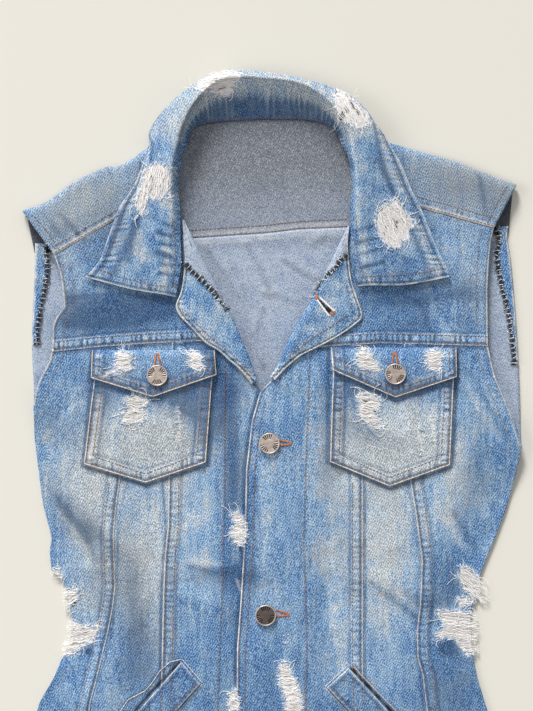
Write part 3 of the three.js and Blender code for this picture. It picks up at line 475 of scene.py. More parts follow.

# %% [markdown]
# ## Rips
#
# Where denim wears through, the blue warp breaks first and the white weft stays as a ladder
# of slack threads. Each rip is an outline on the plan with the way that its threads run.
# The outline fades the cloth below, and the same outline is filled with threads later on.

# %% Outlines of the rips
HALO = 6.5
RIP_COLUMNS = ["name", "turn", "loose", "outline"]
RIPS = [
    ["collar_back_left", -4, 10, [
        (195, 89), (201, 80), (212, 74), (226, 71), (241, 74), (239, 82), (230, 86), (232, 93),
        (223, 97), (214, 92), (206, 93)]],
    ["collar_back_right", 62, 12, [
        (333, 97), (338, 92), (346, 95), (353, 101), (361, 108), (368, 114), (371, 122), (362, 127),
        (355, 129), (347, 123), (338, 121), (334, 114), (337, 107)]],
    ["collar_side", 99, 14, [
        (144, 173), (149, 167), (160, 165), (168, 170), (171, 179), (170, 189), (164, 197),
        (156, 200), (150, 196), (146, 203), (144, 213), (139, 215), (136, 204), (138, 194), (142, 184)]],
    ["collar_leaf", 68, 14, [
        (376, 215), (383, 209), (391, 203), (397, 199), (401, 206), (408, 215), (414, 223),
        (408, 230), (409, 238), (400, 240), (399, 247), (390, 246), (384, 243), (379, 236), (375, 227)]],
    ["flap_left_a", 4, 6, [
        (118, 354), (123, 351), (129, 353), (132, 358), (129, 363), (132, 369), (127, 371), (119, 371),
        (116, 364)]],
    ["flap_left_b", -4, 6, [
        (188, 354), (193, 350), (199, 352), (201, 357), (200, 362), (203, 367), (199, 370), (194, 368),
        (190, 364)]],
    ["pocket_left", 6, 10, [
        (125, 399), (134, 395), (145, 397), (147, 401), (142, 406), (141, 412), (145, 419), (138, 424),
        (130, 424), (121, 423), (124, 414), (129, 408)]],
    ["flap_right_a", 8, 6, [
        (358, 352), (363, 349), (369, 350), (371, 356), (375, 362), (379, 369), (375, 371), (366, 370),
        (359, 367), (358, 360)]],
    ["flap_right_b", -3, 6, [
        (427, 354), (432, 350), (439, 351), (442, 356), (439, 362), (441, 368), (438, 371), (430, 369),
        (427, 363)]],
    ["pocket_right", 5, 12, [
        (358, 398), (361, 393), (368, 393), (375, 395), (380, 401), (378, 408), (375, 414), (378, 420),
        (383, 426), (381, 430), (375, 427), (369, 422), (363, 418), (359, 413), (361, 406)]],
    ["placket_left", 3, 6, [
        (232, 515), (238, 512), (244, 520), (245, 534), (244, 544), (240, 546), (235, 541), (232, 532),
        (236, 524)]],
    ["placket_left_low", 2, 3, [(230, 693), (235, 690), (238, 700), (237, 712), (230, 712)]],
    ["placket_right", 4, 8, [
        (280, 664), (286, 661), (290, 670), (295, 680), (299, 690), (301, 701), (300, 714), (295, 722),
        (288, 722), (286, 703), (284, 690), (280, 681)]],
    ["side_left_c", 30, 4, [(49, 574), (56, 569), (61, 574), (60, 580), (51, 582)]],
    ["side_left_a", -16, 8, [
        (62, 588), (70, 590), (77, 592), (76, 598), (72, 604), (70, 610), (65, 610), (64, 598)]],
    ["side_left_b", -8, 14, [
        (68, 622), (80, 625), (89, 628), (96, 626), (96, 633), (92, 639), (88, 644), (81, 647),
        (75, 652), (69, 656), (62, 655), (63, 648), (67, 636)]],
    ["side_right_a", 38, 12, [
        (461, 567), (470, 569), (480, 578), (487, 590), (490, 601), (482, 603), (474, 600),
        (466, 605), (460, 608), (459, 600), (469, 596), (464, 588), (459, 578)]],
    ["side_right_b", 7, 14, [
        (440, 611), (452, 611), (464, 611), (476, 615), (478, 630), (476, 642), (478, 653), (467, 656),
        (461, 647), (455, 640), (446, 637), (439, 641), (438, 632), (447, 627), (442, 620)]],
]
# Each row has x, y, the reach across and down, and the turn in degrees.
# Each oval is near-black painted shadow, where a gap between threads or an opening shows dark.
GAP_SHADOWS = [
    (342, 117, 2.6, 4.6, 10), (346.5, 112, 0.9, 3, -30), (337, 97.5, 1.4, 0.6, 0),
    (375, 411, 2.6, 0.9, 8), (374, 364.5, 2.4, 0.8, 30), (126, 411.5, 2, 0.9, 0),
    (131, 397, 3, 0.8, 10), (240, 549, 1.5, 2.4, 0), (145.5, 174, 0.8, 1.6, 0),
    (162.5, 172.5, 0.7, 1.6, 0), (152.5, 178, 0.7, 4, 0), (394, 222, 0.8, 4, -35),
    (229, 85.5, 1.2, 1, 0), (74, 604, 1.4, 4, 30), (470, 592, 5, 1.1, 28), (466, 586, 4, 1, 24),
    (384, 231, 0.6, 5, 0), (322.6, 304.2, 1.5, 6, -42), (328.2, 310.2, 2.8, 4.2, -42),
    (214, 82, 0.7, 4, 70), (222, 88, 0.7, 4, 74), (352, 106, 0.8, 5, -30), (358, 114, 0.8, 5, -34),
    (396, 226, 0.7, 6, 10), (152, 188, 0.7, 6, 12), (366, 402, 3, 0.8, 6), (133, 412, 4, 0.8, 6),
    (82, 634, 5, 0.7, -8), (462, 624, 6, 0.7, 7),
]


def outline_depth(x, y, outline):
    """Distance to an outline, above zero inside it."""
    closed = outline + outline[:1]
    away = line_distance(x, y, closed)
    inside = np.zeros(away.shape, dtype=bool)
    for (ax, ay), (bx, by) in zip(closed, closed[1:]):
        straddles = (ay > y) != (by > y)
        crossing = ax + (y - ay) * (bx - ax) / (by - ay if by != ay else 1e-9)
        inside ^= straddles & (x < crossing)
    return np.where(inside, away, -away)


def rips_named(names):
    rips = [dict(zip(RIP_COLUMNS, row)) for row in RIPS]
    return [rip for rip in rips if rip["name"].startswith(tuple(names))]


def torn(x, y, names):
    """How bare the cloth is, with tufts that run the way of the threads."""
    share = np.zeros(np.broadcast(x, y).shape)
    for rip in rips_named(names):
        angle = math.radians(rip["turn"])
        lengthways = x * math.cos(angle) + y * math.sin(angle)
        across = y * math.cos(angle) - x * math.sin(angle)
        tufts = 1.9 * uneven(lengthways / 4, across, 1.7, 5) + 1.0 * uneven(x, y, 4.5, 6)
        depth = outline_depth(x, y, rip["outline"]) + tufts
        share = np.maximum(share, smooth((depth + 1.0) / 2.4))
    return share


def halo(x, y, names):
    """The pale, thin cloth round a rip."""
    share = np.zeros(np.broadcast(x, y).shape)
    for rip in rips_named(names):
        depth = outline_depth(x, y, rip["outline"])
        share = np.maximum(share, smooth((depth + HALO) / HALO))
    return share


def gap_shadows(x, y):
    """Near-black painted shadow in the gaps between threads and in openings."""
    share = np.zeros(np.broadcast(x, y).shape)
    for row in GAP_SHADOWS:
        share = np.maximum(share, smooth((1.35 - patch_share(x, y, *row)) / 0.7))
    return share


print("rips:", len(RIPS), "slits:", len(GAP_SHADOWS))

# %% [markdown]
# ## Cloth from grids
#
# A piece of cloth is one or more grids of points. Points that meet are joined, and each
# piece gets a real wall, so it is a closed shell: a height field is thickened straight
# up, and cloth that turns over is thickened along its normals. The open edges are pressed
# down a little, as a stitched edge is.

# %% A closed shell with its attributes
ATTRIBUTES = ("fade", "grey", "deep", "torn", "worn", "black_shadow", "inside")
pieces = {}


def grid_faces(shape, start):
    rows, columns = shape
    ids = start + np.arange(rows * columns).reshape(rows, columns)
    corners = [ids[:-1, :-1], ids[1:, :-1], ids[1:, 1:], ids[:-1, 1:]]
    return np.stack([c.ravel() for c in corners], axis=1)


def welded(points, faces):
    """The first of each set of points that meet, and the faces on those."""
    keys = np.round(points, 7)
    _, first, back = np.unique(keys, axis=0, return_index=True, return_inverse=True)
    return first, back.ravel()[faces]


def linked(name, data):
    """A new object of the scene."""
    made = bpy.data.objects.new(name, data)
    bpy.context.scene.collection.objects.link(made)
    return made


def smooth_mesh(name, points, faces, **attributes):
    mesh = bpy.data.meshes.new(name)
    mesh.from_pydata(points, [], faces)
    for key, values in attributes.items():
        store = mesh.attributes.new(key, "FLOAT", "POINT")
        store.data.foreach_set("value", np.array(values, dtype=np.float32))
    mesh.polygons.foreach_set("use_smooth", np.ones(len(faces), dtype=bool))
    mesh.update()
    return mesh


def point_normals(points, faces):
    a, b, c, d = (points[faces[:, i]] for i in range(4))
    normal = np.cross(c - a, d - b)
    total = np.zeros_like(points)
    for i in range(4):
        np.add.at(total, faces[:, i], normal)
    return total / np.maximum(np.linalg.norm(total, axis=1, keepdims=True), 1e-12)


def open_edges(faces, count):
    """The edges that only one face has."""
    start = faces.ravel()
    end = np.roll(faces, -1, axis=1).ravel()
    alone = ~np.isin(start * count + end, end * count + start)
    return start[alone], end[alone]


def cloth(name, grids, upward=True, pressed=0.35):
    """Makes one piece. A grid has points in metres, a wall in mm and attributes."""
    points, walls, faces = [], [], []
    values = {key: [] for key in ATTRIBUTES}
    start = 0
    for grid in grids:
        shape = grid["points"].shape[:2]
        points.append(grid["points"].reshape(-1, 3))
        walls.append(np.broadcast_to(grid["wall"], shape).ravel() / 1000)
        for key in ATTRIBUTES:
            values[key].append(np.broadcast_to(grid.get(key, 0.0), shape).ravel())
        faces.append(grid_faces(shape, start))
        start += shape[0] * shape[1]
    points, walls, faces = (np.concatenate(part) for part in (points, walls, faces))
    first, faces = welded(points, faces)
    points, walls = points[first], walls[first]
    count = len(points)
    edge_from, edge_to = open_edges(faces, count)
    border = np.unique(np.concatenate([edge_from, edge_to]))
    press = np.zeros(count)
    press[border] = pressed
    if upward:
        over = np.array([0.0, 0.0, 1.0]) * (walls * (1 - press))[:, None]
        under = np.zeros_like(over)
    else:
        normal = point_normals(points, faces)
        over = normal * (walls * (1 - press) * 0.5)[:, None]
        under = -normal * (walls * 0.5)[:, None]
    shell = np.concatenate([points + over, points + under])
    shell[:, 2] = np.maximum(shell[:, 2], 0)
    walls_round = np.stack([edge_from, edge_from + count, edge_to + count, edge_to], axis=1)
    quads = np.concatenate([faces, faces[:, ::-1] + count, walls_round])
    shares = {key: np.tile(np.concatenate(values[key])[first], 2) for key in ATTRIBUTES}
    mesh = smooth_mesh(f"{name}_cloth", shell.tolist(), quads.tolist(), **shares)
    pieces[name] = linked(f"{name}_cloth", mesh)
    print(name, "faces:", len(quads), "top in mm:", round(shell[:, 2].max() * 1000, 1))


# %% [markdown]
# ## Panels between seams
#
# Most pieces lie between two seams that run down and two that run across. The grid is
# solved a few times over, because each of the four edges is a curve. Every point knows its
# distance from the four edges, and that drives the felled ridges, the puckers, the pale,
# worn line along an edge and the lines of painted shade beside seams and edges.

# %% The grid of a panel
FINE = 1.3
EDGE_PULL = 0.5
RIDGE_WIDTH = 11.0
INSIDE_EDGE = 0.03


def ridge(distance, width=RIDGE_WIDTH):
    """A felled seam: two more layers of cloth, drawn in along its two rows of stitches."""
    height = FELLED * smooth((width + 1.2 - distance) / 2.0)
    height -= 0.3 * bell(distance, 1.3, 2.2)
    return height - 0.3 * bell(distance - width, 1.3, -1.6)


def edge_spaced(count, pull=EDGE_PULL):
    """Shares from 0 to 1 that lie closer together at both ends."""
    even = np.linspace(0, 1, count)
    return even - pull * np.sin(2 * np.pi * even) / (2 * np.pi)


def worn_edge(distance, lengthways, width=0.8):
    """Where an edge is rubbed pale, with gaps."""
    patchy = 0.85 + 0.7 * uneven(lengthways, distance * 0.2, 5, 7)
    return np.clip(patchy, 0, 1) * smooth((width + 0.6 - distance) / 0.9)


def roping(distance, lengthways, centre=6.0):
    """Light and dark bars across a felled seam, from -1 to 1."""
    return gathers(distance, lengthways) * np.exp(-(((distance - centre) / 3.8) ** 4))


def panel(edges, height, step=FINE, felled=(), worn=(), ripple=0.3, rips=(), edge_wear=0.6,
          bars=0.32, pull=EDGE_PULL):
    """edges: from, to, top, foot. felled and worn name the edges that are so."""
    left, right, top, foot = edges
    foot_y = foot[0][1]
    near_top = top[0][1] + 40
    middle_top = along(top, (along(left, near_top) + along(right, near_top)) / 2)
    levels = np.linspace(middle_top, foot_y, 9)
    widest = np.max(along(right, levels) - along(left, levels))
    down = edge_spaced(max(3, int((foot_y - middle_top) / step)), pull)[:, None]
    across = edge_spaced(max(3, int(widest / step)), pull)[None, :]
    y = middle_top + (foot_y - middle_top) * down + 0 * across
    for _ in range(5):
        start, end = along(left, y) + INSIDE_EDGE, along(right, y) - INSIDE_EDGE
        x = start + (end - start) * across
        start, end = along(top, x) + INSIDE_EDGE, along(foot, x) - INSIDE_EDGE
        y = start + (end - start) * down
    away = {
        "from": x - along(left, y), "to": along(right, y) - x,
        "top": y - along(top, x), "foot": along(foot, x) - y,
    }
    run = {"from": y, "to": y, "top": x, "foot": x}
    inward = smooth(np.minimum(away["from"], away["to"]) / 5)
    z = height(x, y) + (texture_height(x, y) - crease_depth(x, y)) * inward * 0.8
    thick = np.full(x.shape, CLOTH)
    bare = np.zeros(x.shape)
    shares = wash_and_shade(x, y)
    for edge, distance in away.items():
        drawn = ripple * 0.4
        if edge in felled:
            drawn = ripple
            thick += ridge(distance)
            rungs = roping(distance, run[edge])
            shares["fade"] += bars * (rungs + 0.5 * (distance < RIDGE_WIDTH + 0.5))
            shares["deep"] -= bars * np.minimum(rungs, 0)
            # Painted shade: a dark line just past the edge of the felled strip, and one beside its first
            # row of stitches.
            shares["deep"] += 0.5 * bell(distance, 1.4, 13.2)
            shares["deep"] += 0.5 * bell(distance, 1.0, 3.4)
        if edge in worn:
            bare = np.maximum(bare, edge_wear * worn_edge(distance, run[edge]))
            # A thin line of painted shade just inside a rubbed edge.
            shares["deep"] += 0.6 * bell(distance, 0.8, 2.4)
        thick += np.maximum(puckers(distance - 6, run[edge], drawn), -0.4)
    shares["worn"] = np.maximum(shares["worn"], bare)
    shares["torn"] = torn(x, y, rips)
    thin = halo(x, y, rips)
    shares["fade"] += 0.6 * thin
    shares["deep"] *= 1 - 0.6 * thin
    shares["black_shadow"] = np.maximum(shares["black_shadow"], gap_shadows(x, y))
    return {"points": placed(x, y, z), "wall": thick, **shares}


# %% [markdown]
# ## The back
#
# The back lies on the surface with its wrong side up, and shows through the neck and the
# armholes. Its yoke goes up over both shoulders: the cloth turns round a fold of about 4 mm
# and comes down on the front as far as the shoulder seam.

# %% The back panel
def lying(x, y):
    return np.zeros(np.broadcast(x, y).shape)


back_edges = (BACK_ARM_LEFT + SIDE_LEFT, BACK_ARM_RIGHT + SIDE_RIGHT, YOKE_SEAM, HEM)
BACK_CREASES = [
    [(246, 242), (258, 262), (267, 284)], [(284, 257), (298, 266), (316, 276)],
    [(312, 243), (325, 231)], [(262, 291), (280, 292), (296, 300)],
    [(205, 245), (222, 268), (236, 292)], [(262, 306), (254, 330), (262, 364)],
]


def plan_of(points):
    """Plan units of points in metres."""
    x = (points[..., 0] - SHIFT_X) / UNIT + PLAN_CENTRE_X
    return x, PLAN_MIDDLE_Y - (points[..., 1] - SHIFT_Y) / UNIT


back_grid = panel(back_edges, lying, step=2.7, ripple=0, pull=0)
back_grid["points"][..., 2] = 0
back_x, back_y = plan_of(back_grid["points"])
from_seam = back_y - along(YOKE_SEAM, back_x)
below_seam = smooth((5.5 - from_seam) / 1.6)
lifted = 0.45 + 0.35 * uneven(back_x, back_y, 22) + 0.15 * uneven(back_x, back_y, 9, 1)
for crease in BACK_CREASES:
    lifted += 0.8 * bell(line_distance(back_x, back_y, crease), 3.6)
lifted = lifted + 0.6 * below_seam + puckers(from_seam - 4, back_x, 0.3)
back_grid["wall"] = CLOTH + np.maximum(lifted, 0) * (back_y < 420)
back_grid["inside"] = 1.0
back_grid["grey"] = back_grid["black_shadow"] = 0.0
back_grid["worn"] = 0.35 * bell(from_seam, 1.0, 5)
back_grid["fade"] = 0.5 * below_seam
# A darker band across the cloth just below the yoke seam.
back_grid["deep"] = 0.45 * bell(back_y, 9, 240) * (from_seam > 6)
blotches = 0.8 + 0.9 * uneven(back_x, back_y, 12, 5)
# Each crease gets painted shade on its side away from the light and painted highlight a little beyond
# it.
for crease in BACK_CREASES:
    shadow = line_distance(back_x - 1.5, back_y - 4.5, crease)
    back_grid["deep"] += 0.32 * bell(shadow, 3.0) * blotches
    back_grid["fade"] += 0.4 * bell(shadow, 2.5, 5.5) * (from_seam > 8)
cloth("back_panel", [back_grid])

# %% The back yoke with both shoulders
SHOULDER_ROWS = 56
SHOULDER_COLUMNS = 60
FRONT_ROWS = 18


def fold_of_shoulder(depths):
    """Insets in mm and shares of the height, once round a half circle."""
    angle = np.linspace(0, np.pi, depths)
    return 0.1 + 6.4 * (1 - np.sin(angle)) ** 1.3, (1 - np.cos(angle)) / 2


def across_shoulder(line, share):
    x = line[0][0] + (line[-1][0] - line[0][0]) * share
    return np.stack([x, along(line, x)])


def shoulder(fold_line, front_seam, back_from, back_to):
    """One half of the yoke: up the back, round the fold and down the front."""
    share = np.linspace(0, 1, SHOULDER_COLUMNS)
    fold = across_shoulder(fold_line, share)
    front = across_shoulder(front_seam, share) - [[0], [HALF_GAP]]
    back_x = back_from + (back_to - back_from) * share
    back = np.stack([back_x, along(YOKE_SEAM, back_x) - HALF_GAP])
    reach = np.hypot(*(front - fold))
    near = fold + (front - fold) * (6.5 / UNIT_MM / reach)
    flat = CLOTH / 2
    lines = []
    for part in np.linspace(0, 1, SHOULDER_ROWS):
        x, y = back + (near - back) * part
        lines.append([x, y, np.full(SHOULDER_COLUMNS, flat), np.ones(SHOULDER_COLUMNS)])
    for inset, rise in list(zip(*fold_of_shoulder(13)))[1:]:
        x, y = fold + (front - fold) * (inset / UNIT_MM / reach)
        z = flat + front_height(x, y) * rise
        lines.append([x, y, z, np.full(SHOULDER_COLUMNS, 1.0 if rise < 0.35 else 0.0)])
    parts = np.linspace(0, 1, FRONT_ROWS)[1:]
    for part in parts:
        x, y = near + (front - near) * part
        away = (1 - part) * reach
        z = front_height(x, y) + flat + 0.5 * ridge(away, 10)
        z = z + puckers(away - 6, x, 0.3) + 0.3 * texture_height(x, y) * min(1, part * 4)
        lines.append([x, y, z, np.zeros(SHOULDER_COLUMNS)])
    x, y, z, inside = (np.stack([line[i] for line in lines]) for i in range(4))
    grid = {"points": placed(x, y, z), "wall": CLOTH, "inside": inside, **wash_and_shade(x, y)}
    bars = np.zeros(x.shape)
    bars[-len(parts):] = np.stack([roping((1 - part) * reach, front[0]) for part in parts])
    # On the wrong side the pale share is taken away and grey is set, so it reads darker as painted
    # shade; near the armholes it gets near-black painted shadow.
    grid["fade"] = grid["fade"] + 0.4 * bars - 0.9 * inside
    grid["grey"] = np.where(inside > 0, 0.7, grid["grey"])
    grid["deep"] -= 0.5 * np.minimum(bars, 0)
    to_armhole = np.maximum(smooth((140 - x) / 50), smooth((x - 410) / 50))
    grid["black_shadow"] = np.where(inside > 0, 0.72 * to_armhole, 0.0)
    grid["worn"][-1] = 0.9
    grid["worn"][-2] = 0.5
    return grid


yoke_left = shoulder(SHOULDER_FOLD_LEFT, SHOULDER_SEAM_LEFT, 34, 192)
yoke_right = shoulder(SHOULDER_FOLD_RIGHT, SHOULDER_SEAM_RIGHT, 347, 509)


def yoke_middle(columns=100, neck_rows=8):
    """The middle of the yoke, from its seam up to the neck and 2 units under the collar."""
    share = np.linspace(0, 1, columns)
    foot_x = 192 + (347 - 192) * share
    foot_y = along(YOKE_SEAM, foot_x) - HALF_GAP
    neck_x = 188 + (337 - 188) * share
    neck_y = along(NECK_SEAM, neck_x)
    rise = np.concatenate([
        np.linspace(0, 0.86, SHOULDER_ROWS), np.linspace(0.86, 1, neck_rows)[1:],
    ])[:, None]
    x = foot_x + (neck_x - foot_x) * rise
    y = foot_y + (neck_y - foot_y) * rise
    under_collar = smooth((rise - 0.97) / 0.02)
    y = y - 2.2 * under_collar
    points = placed(x, y, CLOTH / 2 - 0.35 * under_collar + 0 * x)
    points[:SHOULDER_ROWS, 0] = yoke_left["points"][:SHOULDER_ROWS, -1]
    points[:SHOULDER_ROWS, -1] = yoke_right["points"][:SHOULDER_ROWS, 0]
    from_seam = along(YOKE_SEAM, x) - y
    bars = roping(from_seam, x, 2.0)
    wall = CLOTH - 0.8 * under_collar
    grid = {"points": points, "wall": wall, "inside": 1.0}
    # The wrong side is painted darker grey toward the neck, and darker still near it, as shade under the
    # collar.
    grid["grey"] = 0.55 + 0.5 * smooth(rise * 1.3) + 0 * x
    grid["deep"] = 0.25 * smooth((rise - 0.55) * 2) - 0.4 * np.minimum(bars, 0)
    grid["fade"] = 0.6 * smooth((5 - from_seam) / 1.4) + 0.4 * np.maximum(bars, 0)
    grid["worn"] = 0.3 * bell(from_seam, 1.0, 4.6)
    return grid


cloth("back_yoke", [yoke_left, yoke_middle(), yoke_right], upward=False, pressed=0.0)

# %% The overlocked facings of the armholes
FACING_LEFT = [
    [243, 46], [260, 47], [275, 47], [295, 43], [310, 40], [325, 37.5], [345, 36.5],
]
FACING_RIGHT = [
    [225, 497], [240, 500], [255, 497], [275, 500], [290, 503], [305, 507], [325, 511], [365, 515],
]


def facing(edges):
    """A strip 1 mm thick that lies on the back."""
    grid = panel(edges, lying, step=1.6, ripple=0)
    grid["points"][..., 2] = (CLOTH + SEAM_GAP) / 1000
    grid["wall"] = 1.0
    grid["deep"] = 0.1
    x, y = plan_of(grid["points"])
    outer = np.minimum(np.abs(x - along(BACK_ARM_LEFT, y)), np.abs(x - along(BACK_ARM_RIGHT, y)))
    grid["worn"] = 0.8 * worn_edge(outer - 0.5, y, 1.0)
    return grid


cloth("armhole_facing_left", [facing((
    [[y, x + 0.5] for y, x in BACK_ARM_LEFT], FACING_LEFT,
    [[0, 243], [99, 243]], [[0, 345], [99, 345]],
))])
cloth("armhole_facing_right", [facing((
    FACING_RIGHT, [[y, x - 0.5] for y, x in BACK_ARM_RIGHT],
    [[450, 226], [550, 226]], [[450, 364], [550, 364]],
))])

# %% [markdown]
# ## The fronts
#
# Each front has a yoke, a side, a middle and a centre panel, and the band that carries the
# buttons or the buttonholes. The felled seams lie to one side, so only the panel on top has
# the raised strip with its worn edge.

# %% The panels of both fronts
def fold_edge(fold, sign):
    """The edge of a yoke under its lapel: the fold line, moved outward."""
    first, last = fold[0][0], fold[-1][0]
    return [[y, x + sign * (8.5 - 2.5 * (y - first) / (last - first))] for y, x in fold]


yoke_left_edges = (
    FRONT_ARM_LEFT, [[183, 178], [214, 180.5]] + fold_edge(FOLD_LEFT, -1)[1:],
    SHOULDER_SEAM_LEFT, CHEST_SEAM_LEFT,
)
yoke_right_edges = (
    [[190, 352], [226, 350]] + fold_edge(FOLD_RIGHT, 1)[1:], FRONT_ARM_RIGHT,
    SHOULDER_SEAM_RIGHT, CHEST_SEAM_RIGHT,
)
side_left = FRONT_ARM_LEFT + SIDE_LEFT[1:]
side_right = FRONT_ARM_RIGHT + SIDE_RIGHT[1:]
FRONT_CUTS = [
    ["front_yoke_left", yoke_left_edges, ["foot"], ["foot", "from"], []],
    ["front_side_left", (side_left, OUTER_SEAM_LEFT, CHEST_SEAM_LEFT, HEM),
     ["to", "foot"], ["to"], ["side_left"]],
    ["front_middle_left", (OUTER_SEAM_LEFT, INNER_SEAM_LEFT, CHEST_SEAM_LEFT, HEM),
     ["foot"], [], []],
    ["front_centre_left", (INNER_SEAM_LEFT, BAND_SEAM_LEFT, CHEST_SEAM_LEFT, HEM),
     ["from", "foot"], ["from"], []],
    ["front_band_left", (BAND_SEAM_LEFT, BAND_EDGE_LEFT, CHEST_SEAM_LEFT, HEM),
     ["foot"], [], ["placket_left"]],
    ["front_yoke_right", yoke_right_edges, ["foot"], ["foot", "to"], []],
    ["front_band_right", (BAND_EDGE_RIGHT, BAND_SEAM_RIGHT, CHEST_SEAM_RIGHT, HEM),
     ["foot"], ["from"], ["placket_right"]],
    ["front_centre_right", (BAND_SEAM_RIGHT, INNER_SEAM_RIGHT, CHEST_SEAM_RIGHT, HEM),
     ["to", "foot"], ["to"], []],
    ["front_middle_right", (INNER_SEAM_RIGHT, OUTER_SEAM_RIGHT, CHEST_SEAM_RIGHT, HEM),
     ["foot"], [], []],
    ["front_side_right", (OUTER_SEAM_RIGHT, side_right, CHEST_SEAM_RIGHT, HEM),
     ["from", "foot"], ["from"], ["side_right"]],
]
for name, edges, felled, worn, rips in FRONT_CUTS:
    height = right_front_height if name.endswith("right") else front_height
    edge_wear = 1.0 if name == "front_band_right" else 0.6
    bars = 0.6 if "yoke" in name else 0.32
    grid = panel(edges, height, felled=felled, worn=worn, rips=rips, edge_wear=edge_wear, bars=bars)
    cloth(name, [grid], pressed=0.15 if "band" in name or "centre" in name else 0.3)

# %% [markdown]
# ## Lapels
#
# Above the first button each front is turned back on itself. A section across a lapel
# starts level with the front, goes round a small roll and rests on the front. The pale
# wrong side shows beside the fold, and the blue facing covers the rest.

# %% Both lapels
LAPEL_ROLL = 3.0
# Each row has fold_x, fold_y, edge_x and edge_y.
LAPEL_LEFT = [
    [188, 229, 183.5, 232], [193, 239, 184, 245], [199, 252, 185, 259], [205, 264, 184, 274],
    [213, 280, 181, 292], [217, 289, 176, 306], [222, 300, 180, 316], [227, 309, 188, 324],
    [232, 318, 196, 333], [237, 328, 206, 343], [241, 339, 219, 351], [246, 350, 229, 360],
    [250, 360, 237, 366.5], [254, 372, 246, 376], [257, 381, 251.5, 383.5],
]
LAPEL_RIGHT = [
    [344, 235, 348, 238], [339, 245, 348, 251], [333, 258, 349.5, 267], [327, 270, 352, 283],
    [320, 284, 357, 298], [314.5, 295, 362, 316], [309, 305, 354.5, 325],
    [303, 315.5, 341, 334.5], [297, 325, 328, 342], [291, 336, 314, 349],
    [286, 346, 301, 355.5], [282, 357, 291.5, 363], [277, 367, 283.5, 370.5],
    [270, 377, 275, 380],
]
OVERLOCK_LEFT = [[185, 263], [190, 270], [200, 278], [210, 288], [218, 297], [228, 310]]
OVERLOCK_RIGHT = [[348, 255], [341, 259], [335, 268.5], [325, 276], [319, 285], [314.5, 296]]


def spread_rows(rows, times):
    """Rows of numbers, each gap filled along a smooth curve."""
    rows = np.asarray(rows, dtype=float)
    place = np.linspace(0, len(rows) - 1, (len(rows) - 1) * times + 1)
    start = np.minimum(place.astype(int), len(rows) - 2)
    t = (place - start)[:, None]
    before, here = rows[np.maximum(start - 1, 0)], rows[start]
    ahead, after = rows[start + 1], rows[np.minimum(start + 2, len(rows) - 1)]
    bend = 2 * before - 5 * here + 4 * ahead - after
    turn = 3 * (here - ahead) + after - before
    return 0.5 * (2 * here + (ahead - before) * t + bend * t**2 + turn * t**3)


def lapel(name, rows, overlock, height):
    rows = np.array(rows, dtype=float)
    tip = rows[0] + 0.9 * (rows[0] - rows[1])
    tip[2:] = tip[:2] + (rows[0, 2:] - rows[0, :2]) * 0.25
    rows = np.vstack([tip, rows])
    fold_x, fold_y, edge_x, edge_y = spread_rows(rows, 8).T[:, :, None]
    width = np.hypot(edge_x - fold_x, edge_y - fold_y) * UNIT_MM
    roll = np.minimum(LAPEL_ROLL, width * 0.25)
    angle = np.linspace(0, np.pi, 11)[None, :]
    depth = roll * (0.1 + 1.4 * (1 - np.sin(angle)) ** 1.2)
    rise = (1 - np.cos(angle)) / 2
    share = depth / width
    x, y = fold_x + (edge_x - fold_x) * share, fold_y + (edge_y - fold_y) * share
    z = height(x, y) + CLOTH / 2 + rise * 2 * roll
    across = edge_spaced(52)[None, 1:]
    flat_x = x[:, -1:] + (edge_x - x[:, -1:]) * across
    flat_y = y[:, -1:] + (edge_y - y[:, -1:]) * across
    rest = height(edge_x, edge_y) + CLOTH * 1.5 + FELLED + 0.6
    flat_z = z[:, -1:] + (rest - z[:, -1:]) * across + np.sin(across * np.pi) * 0.5
    away = (1 - across) * width / 0.84
    flat_z = flat_z + puckers(away - 5, flat_y, 0.3) + 0.25 * texture_height(flat_x, flat_y)
    pairs = ((x, flat_x), (y, flat_y), (z, flat_z))
    x, y, z = (np.concatenate(pair, axis=1) for pair in pairs)
    line = np.array(sorted(overlock))
    inside = ((y < np.interp(x, line[:, 0], line[:, 1])) & (y < line[:, 1].max())).astype(float)
    from_edge = np.hypot(edge_x - x, edge_y - y)
    shares = wash_and_shade(x, y, {})
    shares["deep"] = 0.0
    shares["fade"] = 0.12 + 0.5 * uneven(x, y, 9, 5) + 0.25 * bell(from_edge, 5, 4)
    shares["fade"] += 0.5 * roping(from_edge, y, 4.5)
    turned_edge = 0.6 * worn_edge(np.abs(from_edge - 5.2), y, 0)
    shares["worn"] = np.maximum(worn_edge(from_edge, y, 0.9), turned_edge) * (1 - inside)
    # A thin line of painted shadow runs just inside the lapel's edge.
    shares["black_shadow"] = np.maximum(0.75 * bell(from_edge, 0.7, 3.1) * (1 - inside), gap_shadows(x, y))
    grid = {"points": placed(x, y, z), "wall": CLOTH, "inside": inside, **shares}
    cloth(name, [grid], upward=False)


lapel("lapel_left", LAPEL_LEFT, OVERLOCK_LEFT, front_height)
lapel("lapel_right", LAPEL_RIGHT, OVERLOCK_RIGHT, right_front_height)

# %% [markdown]
# ## The collar
#
# The collar is sewn to the neck, stands up, rolls over and falls outward on to the yokes.
# At the back of the neck it is pushed open by the surface, so its stand leans out and its
# fall is tucked under. Each station gives four points of the section and the rest is a
# smooth curve through them.

